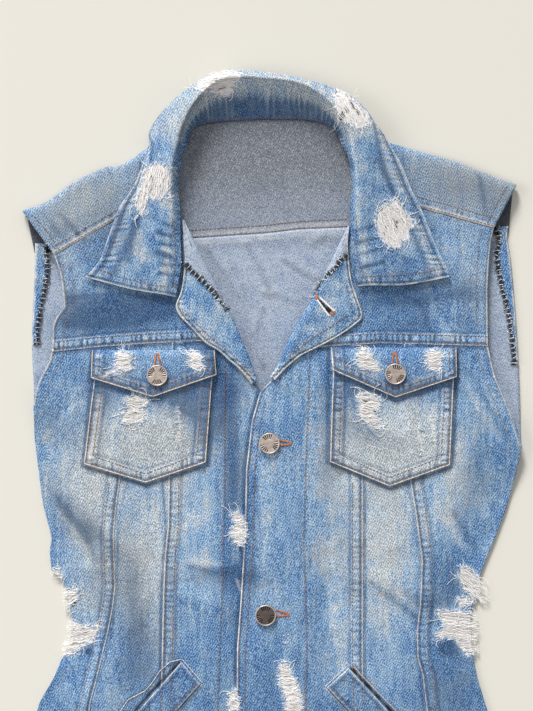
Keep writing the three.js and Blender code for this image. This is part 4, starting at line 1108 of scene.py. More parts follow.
# %% Stations of the collar
# Each row has x and y in plan units and z in mm of the seam, the roll, the full and the edge.
COLLAR_STATIONS = [
    [175.5, 297, 12, 166, 295, 12.4, 130, 289, 12.4, 85, 277, 11.6],
    [178.5, 284, 13, 168, 281, 13.6, 136, 274, 13.4, 92, 270.5, 11.8],
    [181.5, 264, 14, 171, 262, 15, 142, 257, 14.4, 100, 260, 12],
    [181, 246, 14, 171, 244, 16, 145, 241, 15.2, 104, 249, 12],
    [180, 228, 13, 173, 226, 17, 148, 223, 16, 112, 227, 12.2],
    [180, 209, 11.5, 174, 207, 17.5, 150, 203, 17, 120, 207, 12.4],
    [178, 190, 10.4, 172.5, 187, 18.5, 150, 183, 17.4, 133, 188, 12.6],
    [178, 172, 10.4, 173, 170, 19.5, 152, 165, 17.6, 141, 170, 13],
    [181, 156, 10.4, 176, 155, 20, 154, 146, 17, 147, 153, 11.8],
    [188, 142, 7.5, 180, 143, 20, 151, 133, 13, 154, 134, 3],
    [191, 132, 3, 184, 127, 20, 161, 115, 12, 169, 120, 0.8],
    [201, 124, 1.4, 197, 103, 19.5, 186, 91, 12, 191, 108, 0.8],
    [225, 120.5, 1.4, 222, 82, 18.5, 220, 74, 11, 223, 104, 0.8],
    [265, 118.5, 1.4, 265, 81, 18, 265, 74, 11, 265, 103, 0.8],
    [305, 119, 1.4, 303, 87, 18.5, 306, 81, 11, 304, 104, 0.8],
    [327, 124, 1.4, 330, 106, 19.5, 342, 92, 12, 336, 108, 0.8],
    [337, 132, 3, 343, 127, 20, 364, 108.5, 12, 357, 118, 0.8],
    [341, 142, 7.5, 349, 141, 20, 372, 125, 15, 378, 128, 8.5],
    [348, 156, 10.4, 352, 157, 20, 376, 147, 17.6, 393, 150.5, 12.6],
    [352, 172, 10.4, 354.5, 172, 19.5, 380, 165, 17.6, 402, 167, 13],
    [352, 190, 10.4, 355.5, 190, 18.5, 384, 187, 17, 411, 189, 12.8],
    [350.5, 208, 11.5, 354, 207, 17.5, 388, 205, 16.4, 420, 207, 12.4],
    [351, 226, 13, 356, 226, 16.6, 392, 225, 15.2, 429, 228, 12.2],
    [350.5, 244, 14, 358, 244, 15.6, 397, 245, 14.6, 437, 248, 12],
    [352, 264, 14, 360, 264, 14.8, 401, 264, 13.8, 446, 266, 11.8],
    [358.5, 286.5, 12, 368, 285.5, 12.4, 406, 285, 12.4, 450, 277, 11.6],
]


def collar_grid(fill=14, per_span=20):
    """The stations joined lengthways, then every section filled from seam to edge."""
    rows = spread_rows(COLLAR_STATIONS, fill)
    seam, roll, full, edge = rows[:, 0:3], rows[:, 3:6], rows[:, 6:9], rows[:, 9:12]
    crown = roll + (full - roll) * 0.2
    crown[:, 2] = roll[:, 2] + np.minimum(2.2, np.abs(roll[:, 2] - seam[:, 2]) * 0.3)
    lines = [line.ravel() for line in (seam, roll, crown, full, edge)]
    section = spread_rows(lines, per_span)
    section = section.reshape(len(section), -1, 3).transpose(1, 0, 2)
    x, y, z = section[..., 0], section[..., 1], section[..., 2]
    share = np.linspace(0, 1, section.shape[1])[None, :]
    length = np.hypot(*(edge - seam)[:, :2].T)[:, None]
    away = (1 - share) * np.maximum(length, 50)
    lengthways = np.cumsum(np.r_[0, np.hypot(*np.diff(edge[:, :2], axis=0).T)])[:, None]
    run = lengthways + 0 * share
    z = z + puckers(away - 5, run, 0.3) + 0.3 * texture_height(x, y) * (z > 3)
    z = np.maximum(z, CLOTH / 2)
    shares = wash_and_shade(x, y, {})
    creased = wash_and_shade(x, y, COLLAR_MARKS)
    off_floor = z > 8
    shares["torn"] = torn(x, y, ["collar"]) * off_floor
    shares["black_shadow"] = gap_shadows(x, y) * off_floor
    ribs = np.sin(run * 0.95 + 2 * uneven(run, share * 20, 14, 4)) * bell(share, 0.08, 0.07)
    behind = smooth((150 - y) / 24)
    stand = smooth((0.27 - 0.09 * behind - share) / (0.22 - 0.12 * behind))
    ribbing = (0.4 + 0.5 * behind) * np.maximum(ribs, 0)
    # The stand is darkened as painted shade, most at the back of the neck under the roll. Its puckered
    # ribs get bars of light and dark: partly roped wear, partly painted shade and highlight.
    shares["deep"] = 0.08 + stand * (0.3 + 0.75 * behind) + ribbing
    ribs = ribs * np.clip(0.75 + 1.4 * uneven(run, share * 30, 9, 6), 0, 1.2)
    shares["deep"] *= 1 - 0.42 * behind * np.clip(-1.4 * ribs, 0, 1)
    # Painted shadow along the seam at the back of the neck.
    shares["deep"] += behind * 0.9 * smooth((0.03 - share) / 0.02)
    # The roll is paler: partly wear on the fold, partly painted highlight where it faces the light.
    rolled = bell(share, 0.12 + 0.06 * behind, 0.4)
    shares["fade"] = 0.1 + (0.75 - 0.2 * behind) * rolled + 0.45 * np.maximum(-ribs, 0)
    shares["fade"] += 0.3 * uneven(x, y, 16, 6) + 0.3 * uneven(x, y, 7, 7)
    shares["fade"] += behind * (0.45 * (1 - stand) + 0.8 * np.maximum(-ribs, 0))
    from_edge = away * 0.8
    shares["fade"] += 0.25 * smooth((share - 0.72) / 0.2) + 0.45 * roping(from_edge, run, 4.5)
    # The crown at the back of the neck is greyed: partly grey wash, partly painted highlight.
    shares["grey"] = 0.65 * behind * (1 - 0.8 * stand) + 0.05 + 0.0 * z
    ends = [list(zip(x[i], y[i]))[::6] for i in (0, -1)]
    from_end = np.minimum(*(line_distance(x, y, end) for end in ends))
    # The ends of the leaves are painted pale: partly worn edges, partly painted highlight on edges that
    # face away from the light.
    foot_wear_and_highlight = 0.9 * worn_edge(from_end, x, 0.9)
    shares["worn"] = np.maximum(0.45 * worn_edge(from_edge, run), foot_wear_and_highlight) * off_floor
    # A line of painted shadow just inside the ends of the leaves.
    shares["black_shadow"] = np.maximum(shares["black_shadow"], 0.7 * bell(from_end, 0.7, 3.0))
    shares["fade"] += 0.5 * roping(from_end, x, 6.0)
    # Two lines of painted shade along the outer edge.
    shares["deep"] += 0.6 * bell(from_edge, 1.4, 9)
    shares["deep"] += 0.9 * bell(from_edge, 0.8, 3.2)
    outer = off_floor * smooth((share - 0.1) / 0.2)
    # The puckers and folds listed for the collar get their painted shade and painted highlight here.
    shares["deep"] += creased["deep"] * outer
    shares["fade"] += creased["fade"] * outer + 0.5 * halo(x, y, ["collar"])
    return {"points": placed(x, y, z), "wall": CLOTH, **shares}


cloth("collar", [collar_grid()], upward=False)

# %% [markdown]
# ## Looking down on what is built
#
# Pockets, stitches and threads lie on whatever is below them. A ray sent straight down
# finds that cloth, so nothing has to be fitted by hand.

# %% Rays from above
def down_tree(names):
    """The named pieces, ready for rays."""
    points, faces = [], []
    for name in names:
        mesh = pieces[name].data
        start = len(points)
        points += [v.co.copy() for v in mesh.vertices]
        faces += [[start + i for i in p.vertices] for p in mesh.polygons]
    return BVHTree.FromPolygons(points, faces)


def top_at(tree, x, y, missing=0.0):
    """Heights in mm of the highest cloth below points of the plan."""
    x, y = np.broadcast_arrays(x, y)
    spots = placed(x, y, np.zeros(x.shape)).reshape(-1, 3)
    found = []
    for spot in spots:
        hit = tree.ray_cast(Vector((spot[0], spot[1], 0.2)), Vector((0, 0, -1)))[0]
        found.append(missing if hit is None else hit.z * 1000)
    return np.array(found).reshape(x.shape)


# %% [markdown]
# ## Pockets, flaps and welts
#
# The chest pockets are patches with a pointed foot, and their flaps hang from the yoke
# seam. Both are thick at their edges, where the cloth is turned in and stitched twice.
# The welts of the side pockets slant across the lower panels.

# %% Patches laid on the fronts
POCKETS = {
    "left": {
        "edges": ([[356, 97], [382, 93.8], [464, 84]], [[356, 214], [379, 212.4], [462, 206]],
                  [[90, 357], [220, 356]], [[84, 464], [145.8, 482.8], [206, 462.4]]),
        "flap": ([[350, 92], [378, 91]], [[350, 215], [376, 216.5]],
                 [[92, 350], [215, 350]], [[91, 378], [153, 397], [217, 375]]),
        "button": (157.5, 375.5),
    },
    "right": {
        "edges": ([[356, 334], [375, 332.8], [462, 330]], [[356, 455], [381, 453.7], [465, 450]],
                  [[330, 356], [456, 357]], [[330, 462], [389.7, 486.4], [450, 465]]),
        "flap": ([[347, 330.6], [370, 332.8]], [[347, 456.5], [377, 456.5]],
                 [[330, 347.5], [457, 347.5]], [[332, 370], [395.3, 397.5], [457, 377]]),
        "button": (395.3, 374),
    },
}


def softened(z, passes=2):
    """The highest of the neighbours, then their mean, so a patch bridges small steps."""
    rows, columns = z.shape
    for gather in [np.max] * passes + [np.mean] * passes:
        padded = np.pad(z, 1, mode="edge")
        parts = [padded[i:i + rows, j:j + columns] for i in range(3) for j in range(3)]
        z = gather(parts, axis=0)
    return z


def patch(name, edges, under, rips):
    """A panel that lies on the pieces below, and is a little padded by its turned edges."""
    turned = ["from", "to", "foot"]
    grid = panel(edges, lying, step=1.4, felled=turned, worn=turned, rips=rips, edge_wear=1.0,
                 bars=0.55)
    x, y = plan_of(grid["points"])
    grid["points"][..., 2] = (softened(top_at(down_tree(under), x, y)) + SEAM_GAP) / 1000
    grid["wall"] += np.clip(0.5 * (1 + texture_height(x, y)), 0, 1) * 0.5
    cloth(name, [grid])


def fronts(side):
    return [name for name in pieces if name.startswith("front_") and name.endswith(side)]


for side, cut in POCKETS.items():
    patch(f"chest_pocket_{side}", cut["edges"], fronts(side), [f"pocket_{side}"])
    under = fronts(side) + [f"chest_pocket_{side}"]
    patch(f"pocket_flap_{side}", cut["flap"], under, [f"flap_{side}"])

# %% The slanting welts
# The upper corner, the corner across from it, and the run down the slant.
WELTS = {
    "left": ((181.5, 662), (200, 684), (-82, 93)),
    "right": ((348.5, 668), (327, 687), (84, 91)),
}


def welt(side, top, corner, run):
    along_run = np.linspace(0, 1, 130)[:, None]
    across = edge_spaced(36)[None, :]
    x = top[0] + (corner[0] - top[0]) * across + run[0] * along_run
    y = top[1] + (corner[1] - top[1]) * across + run[1] * along_run
    z = softened(top_at(down_tree(fronts(side)), x, y)) + SEAM_GAP
    width = math.hypot(corner[0] - top[0], corner[1] - top[1])
    length = math.hypot(*run)
    from_sides = np.minimum(across, 1 - across) * width
    away = np.minimum(from_sides, np.minimum(along_run, 1 - along_run) * length)
    lengthways = along_run * length + across * 40
    shares = wash_and_shade(x, y, {})
    shares["worn"] = 0.8 * worn_edge(away, lengthways, 0.5)
    # The welt is darkened a little all over, with a line of painted shade just inside its edges.
    shares["deep"] = 0.25 + 0.6 * bell(away, 1.2, 3.6)
    shares["deep"] += 0.5 * np.maximum(roping(away, lengthways), 0)
    wall = CLOTH + FELLED + puckers(away - 5, along_run * length, 0.3)
    cloth(f"welt_{side}", [{"points": placed(x, y, z), "wall": wall, **shares}])


for side, (top, corner, run) in WELTS.items():
    welt(side, top, corner, run)

# %% [markdown]
# ## The denim finish
#
# Denim is woven from blue warp threads over white weft threads in a slanted twill. From a
# step away it reads as fine slanted lines, long flecks down the warp, and clouds from the
# wash. Shader maths is written as ordinary expressions: a small class wraps a socket, and
# each operator adds the Math node that it stands for.

# %% Numbers and nodes as expressions
class Signal:
    """A number that comes out of a node, with the usual arithmetic."""

    def __init__(self, shader, socket):
        self.shader, self.socket = shader, socket

    def maths(self, operation, *others):
        return self.shader.node("ShaderNodeMath", {"operation": operation}, [self, *others])

    def __add__(self, other):
        return self.maths("ADD", other)

    __radd__ = __add__

    def __mul__(self, other):
        return self.maths("MULTIPLY", other)

    __rmul__ = __mul__

    def __sub__(self, other):
        return self.maths("SUBTRACT", other)

    def __rsub__(self, other):
        return self * -1 + other

    def clamped(self):
        return self.maths("MAXIMUM", 0.0).maths("MINIMUM", 1.0)

    def step(self, low, high):
        """0 below low, 1 above high, smooth between them."""
        settings = {"interpolation_type": "SMOOTHSTEP"}
        return self.shader.node("ShaderNodeMapRange", settings, [self, low, high, 0.0, 1.0])


class Shader:
    """A finish, and one method that adds any node to it."""

    def __init__(self, name, roughness=0.85, metallic=0.0):
        self.material = bpy.data.materials.new(name)
        self.material.use_nodes = True
        self.tree = self.material.node_tree
        self.surface = self.tree.nodes["Principled BSDF"]
        self.surface.inputs["Roughness"].default_value = roughness
        self.surface.inputs["Metallic"].default_value = metallic

    def node(self, kind, settings=None, values=(), output=0):
        made = self.tree.nodes.new(kind)
        for key, value in (settings or {}).items():
            setattr(made, key, value)
        named = values.items() if isinstance(values, dict) else enumerate(values)
        for key, value in named:
            self.feed(made.inputs[key], value)
        return Signal(self, made.outputs[output])

    def feed(self, socket, value):
        if isinstance(value, Signal):
            self.tree.links.new(value.socket, socket)
        else:
            socket.default_value = value

    def attribute(self, name):
        return self.node("ShaderNodeAttribute", {"attribute_name": name}, output="Fac")

    def place(self, scale=(1, 1, 1), turn=0.0):
        spot = self.node("ShaderNodeTexCoord", output="Object")
        values = {"Vector": spot, "Rotation": (0, 0, turn), "Scale": scale}
        return self.node("ShaderNodeMapping", {"vector_type": "POINT"}, values)

    def noise(self, spot, scale, detail, roughness):
        values = {"Vector": spot, "Scale": scale, "Detail": detail, "Roughness": roughness}
        return self.node("ShaderNodeTexNoise", {}, values)

    def waves(self, spot, scale, distortion):
        values = {"Vector": spot, "Scale": scale, "Distortion": distortion, "Detail Scale": 2.0}
        return self.node("ShaderNodeTexWave", {}, values, output="Fac")

    def mix(self, share, first, second):
        values = {0: share, 6: first, 7: second}
        return self.node("ShaderNodeMix", {"data_type": "RGBA"}, values, output=2)

    def colour(self, value):
        self.feed(self.surface.inputs["Base Color"], value)

    def bump(self, height, strength, distance):
        values = {"Height": height, "Strength": strength, "Distance": distance}
        self.feed(self.surface.inputs["Normal"], self.node("ShaderNodeBump", {}, values))


def tone(red, green, blue):
    """A screen colour from 0 to 255 as linear light."""
    linear = []
    for value in (red / 255, green / 255, blue / 255):
        linear.append(value / 12.92 if value <= 0.04045 else ((value + 0.055) / 1.055) ** 2.4)
    return (*linear, 1.0)


print("mid blue in linear light:", [round(v, 3) for v in tone(105, 145, 190)])

# %% Washed denim, right side and wrong side
def denim():
    look = Shader("washed_denim", roughness=0.9)
    share = {key: look.attribute(key) for key in ATTRIBUTES}
    spot = look.place()
    clouds = look.noise(spot, 26.0, 4.0, 0.55)
    mottle = look.noise(spot, 95.0, 5.0, 0.6)
    slubs = look.noise(look.place((260, 40, 60)), 1.0, 3.0, 0.6)
    pepper = look.noise(look.place((1120, 760, 700), math.radians(28)), 1.0, 2.0, 0.7)
    weft = look.noise(look.place((300, 1250, 300)), 1.0, 2.0, 0.6)
    twill = look.waves(look.place((1, 1, 1), math.radians(38)), 165.0, 1.6)
    cross = look.waves(look.place((1, 1, 1), math.radians(-62)), 178.0, 1.6)
    weave = (twill - 0.5) * (cross - 0.5) * 2.0 + (twill - 0.5) * 0.35
    grain = (pepper - 0.5) * 3.2 + weave * 1.0
    # The pale share is mostly the wash, with painted highlight on the lit side of creases and on the
    # collar's roll.
    fade = share["fade"] + (clouds - 0.5) * 1.9 + (mottle - 0.5) * 1.1 + (slubs - 0.5) * 1.7
    fade = (fade * 0.74 + 0.15).clamped()
    blue = look.mix(fade.step(0.0, 0.5), tone(64, 118, 178), tone(120, 170, 216))
    blue = look.mix(fade.step(0.35, 1.0), blue, tone(198, 209, 216))
    grey = (share["grey"] + (mottle - 0.5) * 0.5).clamped()
    blue = look.mix(grey * 0.75, blue, tone(160, 164, 163))
    # The darker, less faded blue and the painted shade share one mix, which turns grey where the cloth
    # is grey.
    deep = (share["deep"] * 1.1 + (clouds - 0.5) * 0.8 + (mottle - 0.5) * 0.7).clamped()
    shadow = look.mix(grey, tone(24, 60, 104), tone(78, 84, 92))
    blue = look.mix(deep * 0.9, blue, shadow)
    black = look.mix(fade, tone(20, 52, 96), tone(104, 124, 144))
    white = look.mix(fade, tone(166, 204, 238), tone(246, 248, 248))
    # Pale flecks are dimmed in the darker blue and in painted shade.
    white = look.mix(deep * 0.85, white, tone(88, 130, 174))
    blue = look.mix((grain * 2.4).clamped() * 0.85, blue, white)
    blue = look.mix((grain * -2.4).clamped() * 0.85, blue, black)
    cloudy = (clouds * 0.6 + mottle * 0.4).step(0.3, 0.7)
    wrong = look.mix(cloudy, tone(144, 162, 190), tone(182, 197, 217))
    # On the wrong side, grey is painted shade.
    wrong = look.mix(share["grey"].clamped() * 0.9, wrong, tone(110, 113, 117))
    wrong = look.mix(share["fade"].clamped() * 0.6, wrong, tone(196, 200, 206))
    # The dark share on the wrong side is painted shade too.
    wrong = look.mix(deep * 0.6, wrong, tone(78, 88, 108))
    across = look.noise(look.place((520, 1350, 300)), 1.0, 2.0, 0.6)
    down = look.noise(look.place((1350, 420, 300)), 1.0, 2.0, 0.6)
    hatch = (across - 0.5) * 1.6 + (down - 0.5) * 1.2 + weave * 0.7 + (pepper - 0.5) * 1.4
    wrong = look.mix((hatch * 1.3).clamped() * 0.6, wrong, tone(224, 226, 230))
    wrong = look.mix((hatch * -1.7).clamped() * 0.7, wrong, tone(66, 80, 110))
    colour = look.mix(share["inside"], blue, wrong)
    worn = (share["worn"] * (1.0 + (mottle - 0.5) * 1.8 + (pepper - 0.5) * 0.8)).clamped()
    colour = look.mix(worn * 0.92, colour, tone(238, 237, 232))
    ragged = (share["torn"] + (weft - 0.5) * 1.3 + (pepper - 0.5) * 0.7).step(0.4, 0.75)
    # Painted shade in the gaps between the bare threads.
    shade_between_threads = ((weft - 0.5) * -3.6).clamped()
    bare = look.mix(shade_between_threads * 0.8, tone(226, 222, 220), tone(70, 76, 96))
    colour = look.mix(ragged, colour, bare)
    # Near-black painted shadow in gaps and openings.
    colour = look.mix(share["black_shadow"].clamped(), colour, tone(16, 20, 30))
    look.colour(colour)
    height = grain * 0.6 * (1 - ragged) + (weft - 0.5) * ragged * 2 + (mottle - 0.5) * 1.2
    look.bump(height, 0.5, 0.0007)
    return look.material


DENIM = denim()
for piece in pieces.values():
    piece.data.materials.append(DENIM)
print("pieces of denim:", len(pieces))

# %% Threads, and the metal of the buttons
def thread_look(name, shade, paler):
    look = Shader(name, 0.7)
    twist = look.noise(look.place((900, 900, 900)), 1.0, 2.0, 0.6)
    look.colour(look.mix(twist.step(0.35, 0.65), tone(*shade), tone(*paler)))
    return look.material


ORANGE = thread_look("orange_brown_thread", (112, 76, 48), (156, 112, 78))
FADED_THREAD = thread_look("faded_thread", (128, 104, 84), (170, 150, 130))
RUST = thread_look("buttonhole_thread", (168, 98, 58), (204, 134, 92))
WHITE = thread_look("bare_weft_thread", (252, 250, 248), (255, 255, 255))
NAVY = thread_look("navy_overlock_thread", (8, 12, 26), (30, 38, 60))
BLUE_THREAD = thread_look("blue_warp_thread", (104, 146, 198), (186, 208, 232))


def button_metal():
    look = Shader("antique_nickel", 0.4, 0.7)
    wear = look.noise(look.place(), 380.0, 3.0, 0.6)
    grain = look.noise(look.place(), 2200.0, 2.0, 0.5)
    shade = look.mix(wear.step(0.3, 0.7), tone(196, 180, 170), tone(226, 212, 204))
    shade = look.mix(look.attribute("tarnish"), shade, tone(84, 75, 72))
    shade = look.mix(look.attribute("recess"), shade, tone(30, 22, 20))
    look.colour(shade)
    look.feed(look.surface.inputs["Roughness"], wear * 0.2 + 0.34)
    look.bump(grain, 0.15, 0.0002)
    return look.material


METAL = button_metal()
print("finishes:", [m.name for m in bpy.data.materials])

# %% [markdown]
# ## Stitches
#
# A stitch is a short, rounded bit of thread, sunk at both ends. One Geometry Nodes tree
# turns each sewn line into a curve, spaces points along it at the stitch's pitch, and sets
# one small thread on each point, turned along the line.

# %% A tree that sews a line
def input_of(tree, name, value):
    socket = tree.interface.new_socket(name, in_out="INPUT", socket_type="NodeSocketFloat")
    socket.default_value = value
    return socket.identifier


def new_tree(name):
    tree = bpy.data.node_groups.new(name, "GeometryNodeTree")
    tree.interface.new_socket("Geometry", in_out="INPUT", socket_type="NodeSocketGeometry")
    tree.interface.new_socket("Geometry", in_out="OUTPUT", socket_type="NodeSocketGeometry")
    return tree


def node_in(tree, kind, settings=None, links=None):
    made = tree.nodes.new(kind)
    for key, value in (settings or {}).items():
        setattr(made, key, value)
    for key, value in (links or {}).items():
        if isinstance(value, bpy.types.NodeSocket):
            tree.links.new(value, made.inputs[key])
        else:
            made.inputs[key].default_value = value
    return made


def close_tree(tree, geometry, material):
    """Real faces with a finish, out of what a tree has made."""
    real = node_in(tree, "GeometryNodeRealizeInstances", links={"Geometry": geometry})
    coloured = node_in(tree, "GeometryNodeSetMaterial",
                       links={"Geometry": real.outputs[0], "Material": material})
    finish = node_in(tree, "NodeGroupOutput")
    tree.links.new(coloured.outputs[0], finish.inputs[0])


def stitching_tree(material):
    tree = new_tree(f"sew_{material.name}")
    pitch = input_of(tree, "Pitch", 0.003)
    thick = input_of(tree, "Thread", 0.0003)
    start = node_in(tree, "NodeGroupInput")
    given = start.outputs
    line = node_in(tree, "GeometryNodeMeshToCurve", links={"Mesh": given["Geometry"]})
    spaced = node_in(tree, "GeometryNodeResampleCurve", {"mode": "LENGTH"},
                     {"Curve": line.outputs[0], "Length": given["Pitch"]})
    bead = node_in(tree, "GeometryNodeMeshUVSphere",
                   links={"Segments": 6, "Rings": 4, "Radius": 1.0})
    long_half = node_in(tree, "ShaderNodeMath", {"operation": "MULTIPLY"},
                        {0: given["Pitch"], 1: 0.41})
    size = node_in(tree, "ShaderNodeCombineXYZ",
                   links={"X": given["Thread"], "Y": given["Thread"], "Z": long_half.outputs[0]})
    shaped = node_in(tree, "GeometryNodeTransform",
                     links={"Geometry": bead.outputs["Mesh"], "Scale": size.outputs[0]})
    tangent = node_in(tree, "GeometryNodeInputTangent")
    turn = node_in(tree, "FunctionNodeAlignRotationToVector", {"axis": "Z"},
                   {"Vector": tangent.outputs[0]})
    sewn = node_in(tree, "GeometryNodeInstanceOnPoints", links={
        "Points": spaced.outputs[0], "Instance": shaped.outputs[0], "Rotation": turn.outputs[0],
    })
    close_tree(tree, sewn.outputs[0], material)
    return tree, {"Pitch": pitch, "Thread": thick}


def tube_tree(material):
    tree = new_tree(f"spin_{material.name}")
    thick = input_of(tree, "Radius", 0.0002)
    start = node_in(tree, "NodeGroupInput")
    line = node_in(tree, "GeometryNodeMeshToCurve", links={"Mesh": start.outputs["Geometry"]})
    ring = node_in(tree, "GeometryNodeCurvePrimitiveCircle",
                   links={"Resolution": 5, "Radius": start.outputs["Radius"]})
    tube = node_in(tree, "GeometryNodeCurveToMesh", links={
        "Curve": line.outputs[0], "Profile Curve": ring.outputs[0], "Fill Caps": True,
    })
    close_tree(tree, tube.outputs[0], material)
    return tree, {"Radius": thick}


def grown(name, lines, recipe, **sizes):
    """Lines of points in metres, run through a tree and kept as a plain mesh."""
    tree, names = recipe
    points, edges = [], []
    for line in lines:
        start = len(points)
        points += [tuple(p) for p in line]
        edges += [(start + i, start + i + 1) for i in range(len(line) - 1)]
    mesh = bpy.data.meshes.new(f"{name}_lines")
    mesh.from_pydata(points, edges, [])
    guide = linked(f"{name}_lines", mesh)
    modifier = guide.modifiers.new("grow", "NODES")
    modifier.node_group = tree
    for key, value in sizes.items():
        modifier[names[key]] = value
    seen = guide.evaluated_get(bpy.context.evaluated_depsgraph_get())
    plain = bpy.data.meshes.new_from_object(seen)
    bpy.data.objects.remove(guide)
    plain.name = name
    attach(linked(name, plain), "root")
    print(name, "lines:", len(lines), "faces:", len(plain.polygons))


# %% Where the rows of stitches run
def shifted(table, by, start, end, count=60):
    """A row beside a seam that runs down, as points of the plan."""
    y = np.linspace(start, end, count)
    return np.stack([along(table, y) + by, y], axis=1)


def below(table, by, start, end, count=60):
    x = np.linspace(start, end, count)
    return np.stack([x, along(table, x) + by], axis=1)


def line_through(*points, step=3.0):
    points = np.array(points, dtype=float)
    length = np.r_[0, np.cumsum(np.hypot(*np.diff(points, axis=0).T))]
    at = np.linspace(0, length[-1], max(2, int(length[-1] / step)))
    return np.stack([np.interp(at, length, points[:, i]) for i in (0, 1)], axis=1)


SEWN_ORANGE = [
    shifted(OUTER_SEAM_LEFT, -1.9, 484, 784), shifted(OUTER_SEAM_LEFT, -10.6, 484, 784),
    shifted(INNER_SEAM_LEFT, 1.9, 484, 784), shifted(INNER_SEAM_LEFT, 10.4, 484, 784),
    shifted(INNER_SEAM_RIGHT, -1.9, 484, 784), shifted(INNER_SEAM_RIGHT, -10.6, 484, 784),
    shifted(OUTER_SEAM_RIGHT, 1.9, 484, 784), shifted(OUTER_SEAM_RIGHT, 10.4, 484, 784),
    shifted(BAND_SEAM_RIGHT, -1.6, 350, 784), shifted(BAND_SEAM_LEFT, -1.6, 366, 784),
    shifted(BAND_EDGE_RIGHT, 8.6, 404, 796), shifted(BAND_EDGE_RIGHT, 1.8, 396, 796),
    below(CHEST_SEAM_LEFT, -9.8, 56, 204), below(CHEST_SEAM_LEFT, -1.9, 56, 214),
    below(CHEST_SEAM_RIGHT, -9.8, 336, 486), below(CHEST_SEAM_RIGHT, -1.9, 322, 486),
    below(SHOULDER_SEAM_LEFT, -8.8, 53, 118), below(SHOULDER_SEAM_LEFT, -2.2, 56, 118),
    below(SHOULDER_SEAM_RIGHT, -10.5, 414, 494), below(SHOULDER_SEAM_RIGHT, -2.2, 420, 492),
    below(YOKE_SEAM, -8.2, 192, 346), below(YOKE_SEAM, -1.4, 193, 346),
    shifted(FRONT_ARM_LEFT, 11.5, 262, 400), shifted(FRONT_ARM_LEFT, 2.4, 262, 400),
    shifted(FRONT_ARM_RIGHT, -2.2, 232, 458), shifted(FRONT_ARM_RIGHT, -11.5, 232, 456),
    line_through((22 + 10, 215), (43, 226), (58, 248)),
    line_through((507, 187), (499, 200), (488, 222)),
    below(HEM, -13, 24, 502, 160), below(HEM, -3, 18, 506, 160),
]
COLLAR_SEWN = [
    line_through((140, 165), (133, 190), (126, 205), (117, 232), (109, 258), (101, 270)),
    line_through((101, 270), (120, 277), (150, 285), (176, 287)),
    line_through((174, 222), (175, 240), (176, 262), (172, 286)),
    line_through((381, 135), (392, 160), (399, 181), (407, 197), (416, 218), (429, 250),
                 (438, 270)),
    line_through((438, 270), (408, 275), (382, 276), (362, 277)),
    line_through((356, 222), (355, 240), (358, 262), (364, 278)),
    line_through((196, 125), (204, 121.5), (225, 118.6), (265, 116.6), (305, 117), (321, 120),
                 (333, 126)),
]
LAPEL_SEWN = [
    line_through((183, 312), (197, 324), (213, 340), (232, 354), (250, 372)),
    line_through((347, 287), (352, 312)), line_through((346, 317), (308, 341), (290, 356)),
]
for cut in POCKETS.values():
    left, right, _, foot = cut["edges"]
    for inset in (1.8, 9.0):
        SEWN_ORANGE.append(line_through(
            (along(left, 392) + inset, 392), (foot[0][0] + inset, foot[0][1] - inset * 0.9),
            (foot[1][0], foot[1][1] - inset), (foot[2][0] - inset, foot[2][1] - inset * 0.9),
            (along(right, 388) - inset, 388),
        ))
    left, right, top, foot = cut["flap"]
    for inset in (1.8, 8.0):
        SEWN_ORANGE.append(line_through(
            (along(left, 358) + inset, top[0][1] + 2), (foot[0][0] + inset, foot[0][1] - inset * 0.8),
            (foot[1][0], foot[1][1] - inset), (foot[2][0] - inset, foot[2][1] - inset * 0.8),
            (along(right, 358) - inset, top[1][1] + 2),
        ))
for top, corner, run in WELTS.values():
    ends = [np.array(p, dtype=float) for p in (top, corner)]
    run = np.array(run, dtype=float)
    share = 0.9
    edge = ends[0] + (ends[1] - ends[0]) * share
    SEWN_ORANGE.append(line_through(edge + run * 0.02, edge + run * 0.98))
print("rows of stitches:", len(SEWN_ORANGE) + len(COLLAR_SEWN) + len(LAPEL_SEWN))

# %% Sewing them
everything = down_tree(list(pieces))


def laid(lines, lift=0.12):
    """Plan lines dropped on to the cloth below them. Steps between panels end a line."""
    dropped = []
    for line in lines:
        z = top_at(everything, line[:, 0], line[:, 1], missing=-1)
        points = placed(line[:, 0], line[:, 1], z + lift)
        run = []
        for i, height in enumerate(z):
            if run and (height < 0 or abs(height - z[i - 1]) > 1.6):
                if len(run) > 2:
                    dropped.append(run)
                run = []
            if height >= 0:
                run.append(points[i])
        if len(run) > 2:
            dropped.append(run)
    return dropped


sew_orange = stitching_tree(ORANGE)
sew_faded = stitching_tree(FADED_THREAD)
faded_rows = SEWN_ORANGE[22:26] + SEWN_ORANGE[28:30]
orange_rows = SEWN_ORANGE[:22] + SEWN_ORANGE[26:28] + SEWN_ORANGE[30:]
grown("stitches_orange", laid(orange_rows + LAPEL_SEWN), sew_orange, Pitch=0.0031, Thread=0.00036)
grown("stitches_collar", laid(COLLAR_SEWN), sew_orange, Pitch=0.0031, Thread=0.00034)
grown("stitches_faded", laid(faded_rows), sew_faded, Pitch=0.0031, Thread=0.00034)

# %% [markdown]
# ## Bare threads
#
# Every rip is filled level by level: a level is a line across its outline, and the thread
# on it spans the outline, hangs a little, and drifts toward its neighbours in bundles. At
# the outline, short tufts of white and of blue stick out. A second tree turns the lines
# into fine tubes.

# %% Ladders of bare threads
chance = random.Random(7)


def spans(outline, angle, level):
    """Where a line across the outline at a level enters and leaves it."""
    turned = [(x * math.cos(angle) + y * math.sin(angle), y * math.cos(angle) - x * math.sin(angle))
              for x, y in outline]
    crossings = []
    for (ax, ay), (bx, by) in zip(turned, turned[1:] + turned[:1]):
        if (ay > level) != (by > level):
            crossings.append(ax + (level - ay) * (bx - ax) / (by - ay))
    crossings.sort()
    return list(zip(crossings[::2], crossings[1::2]))


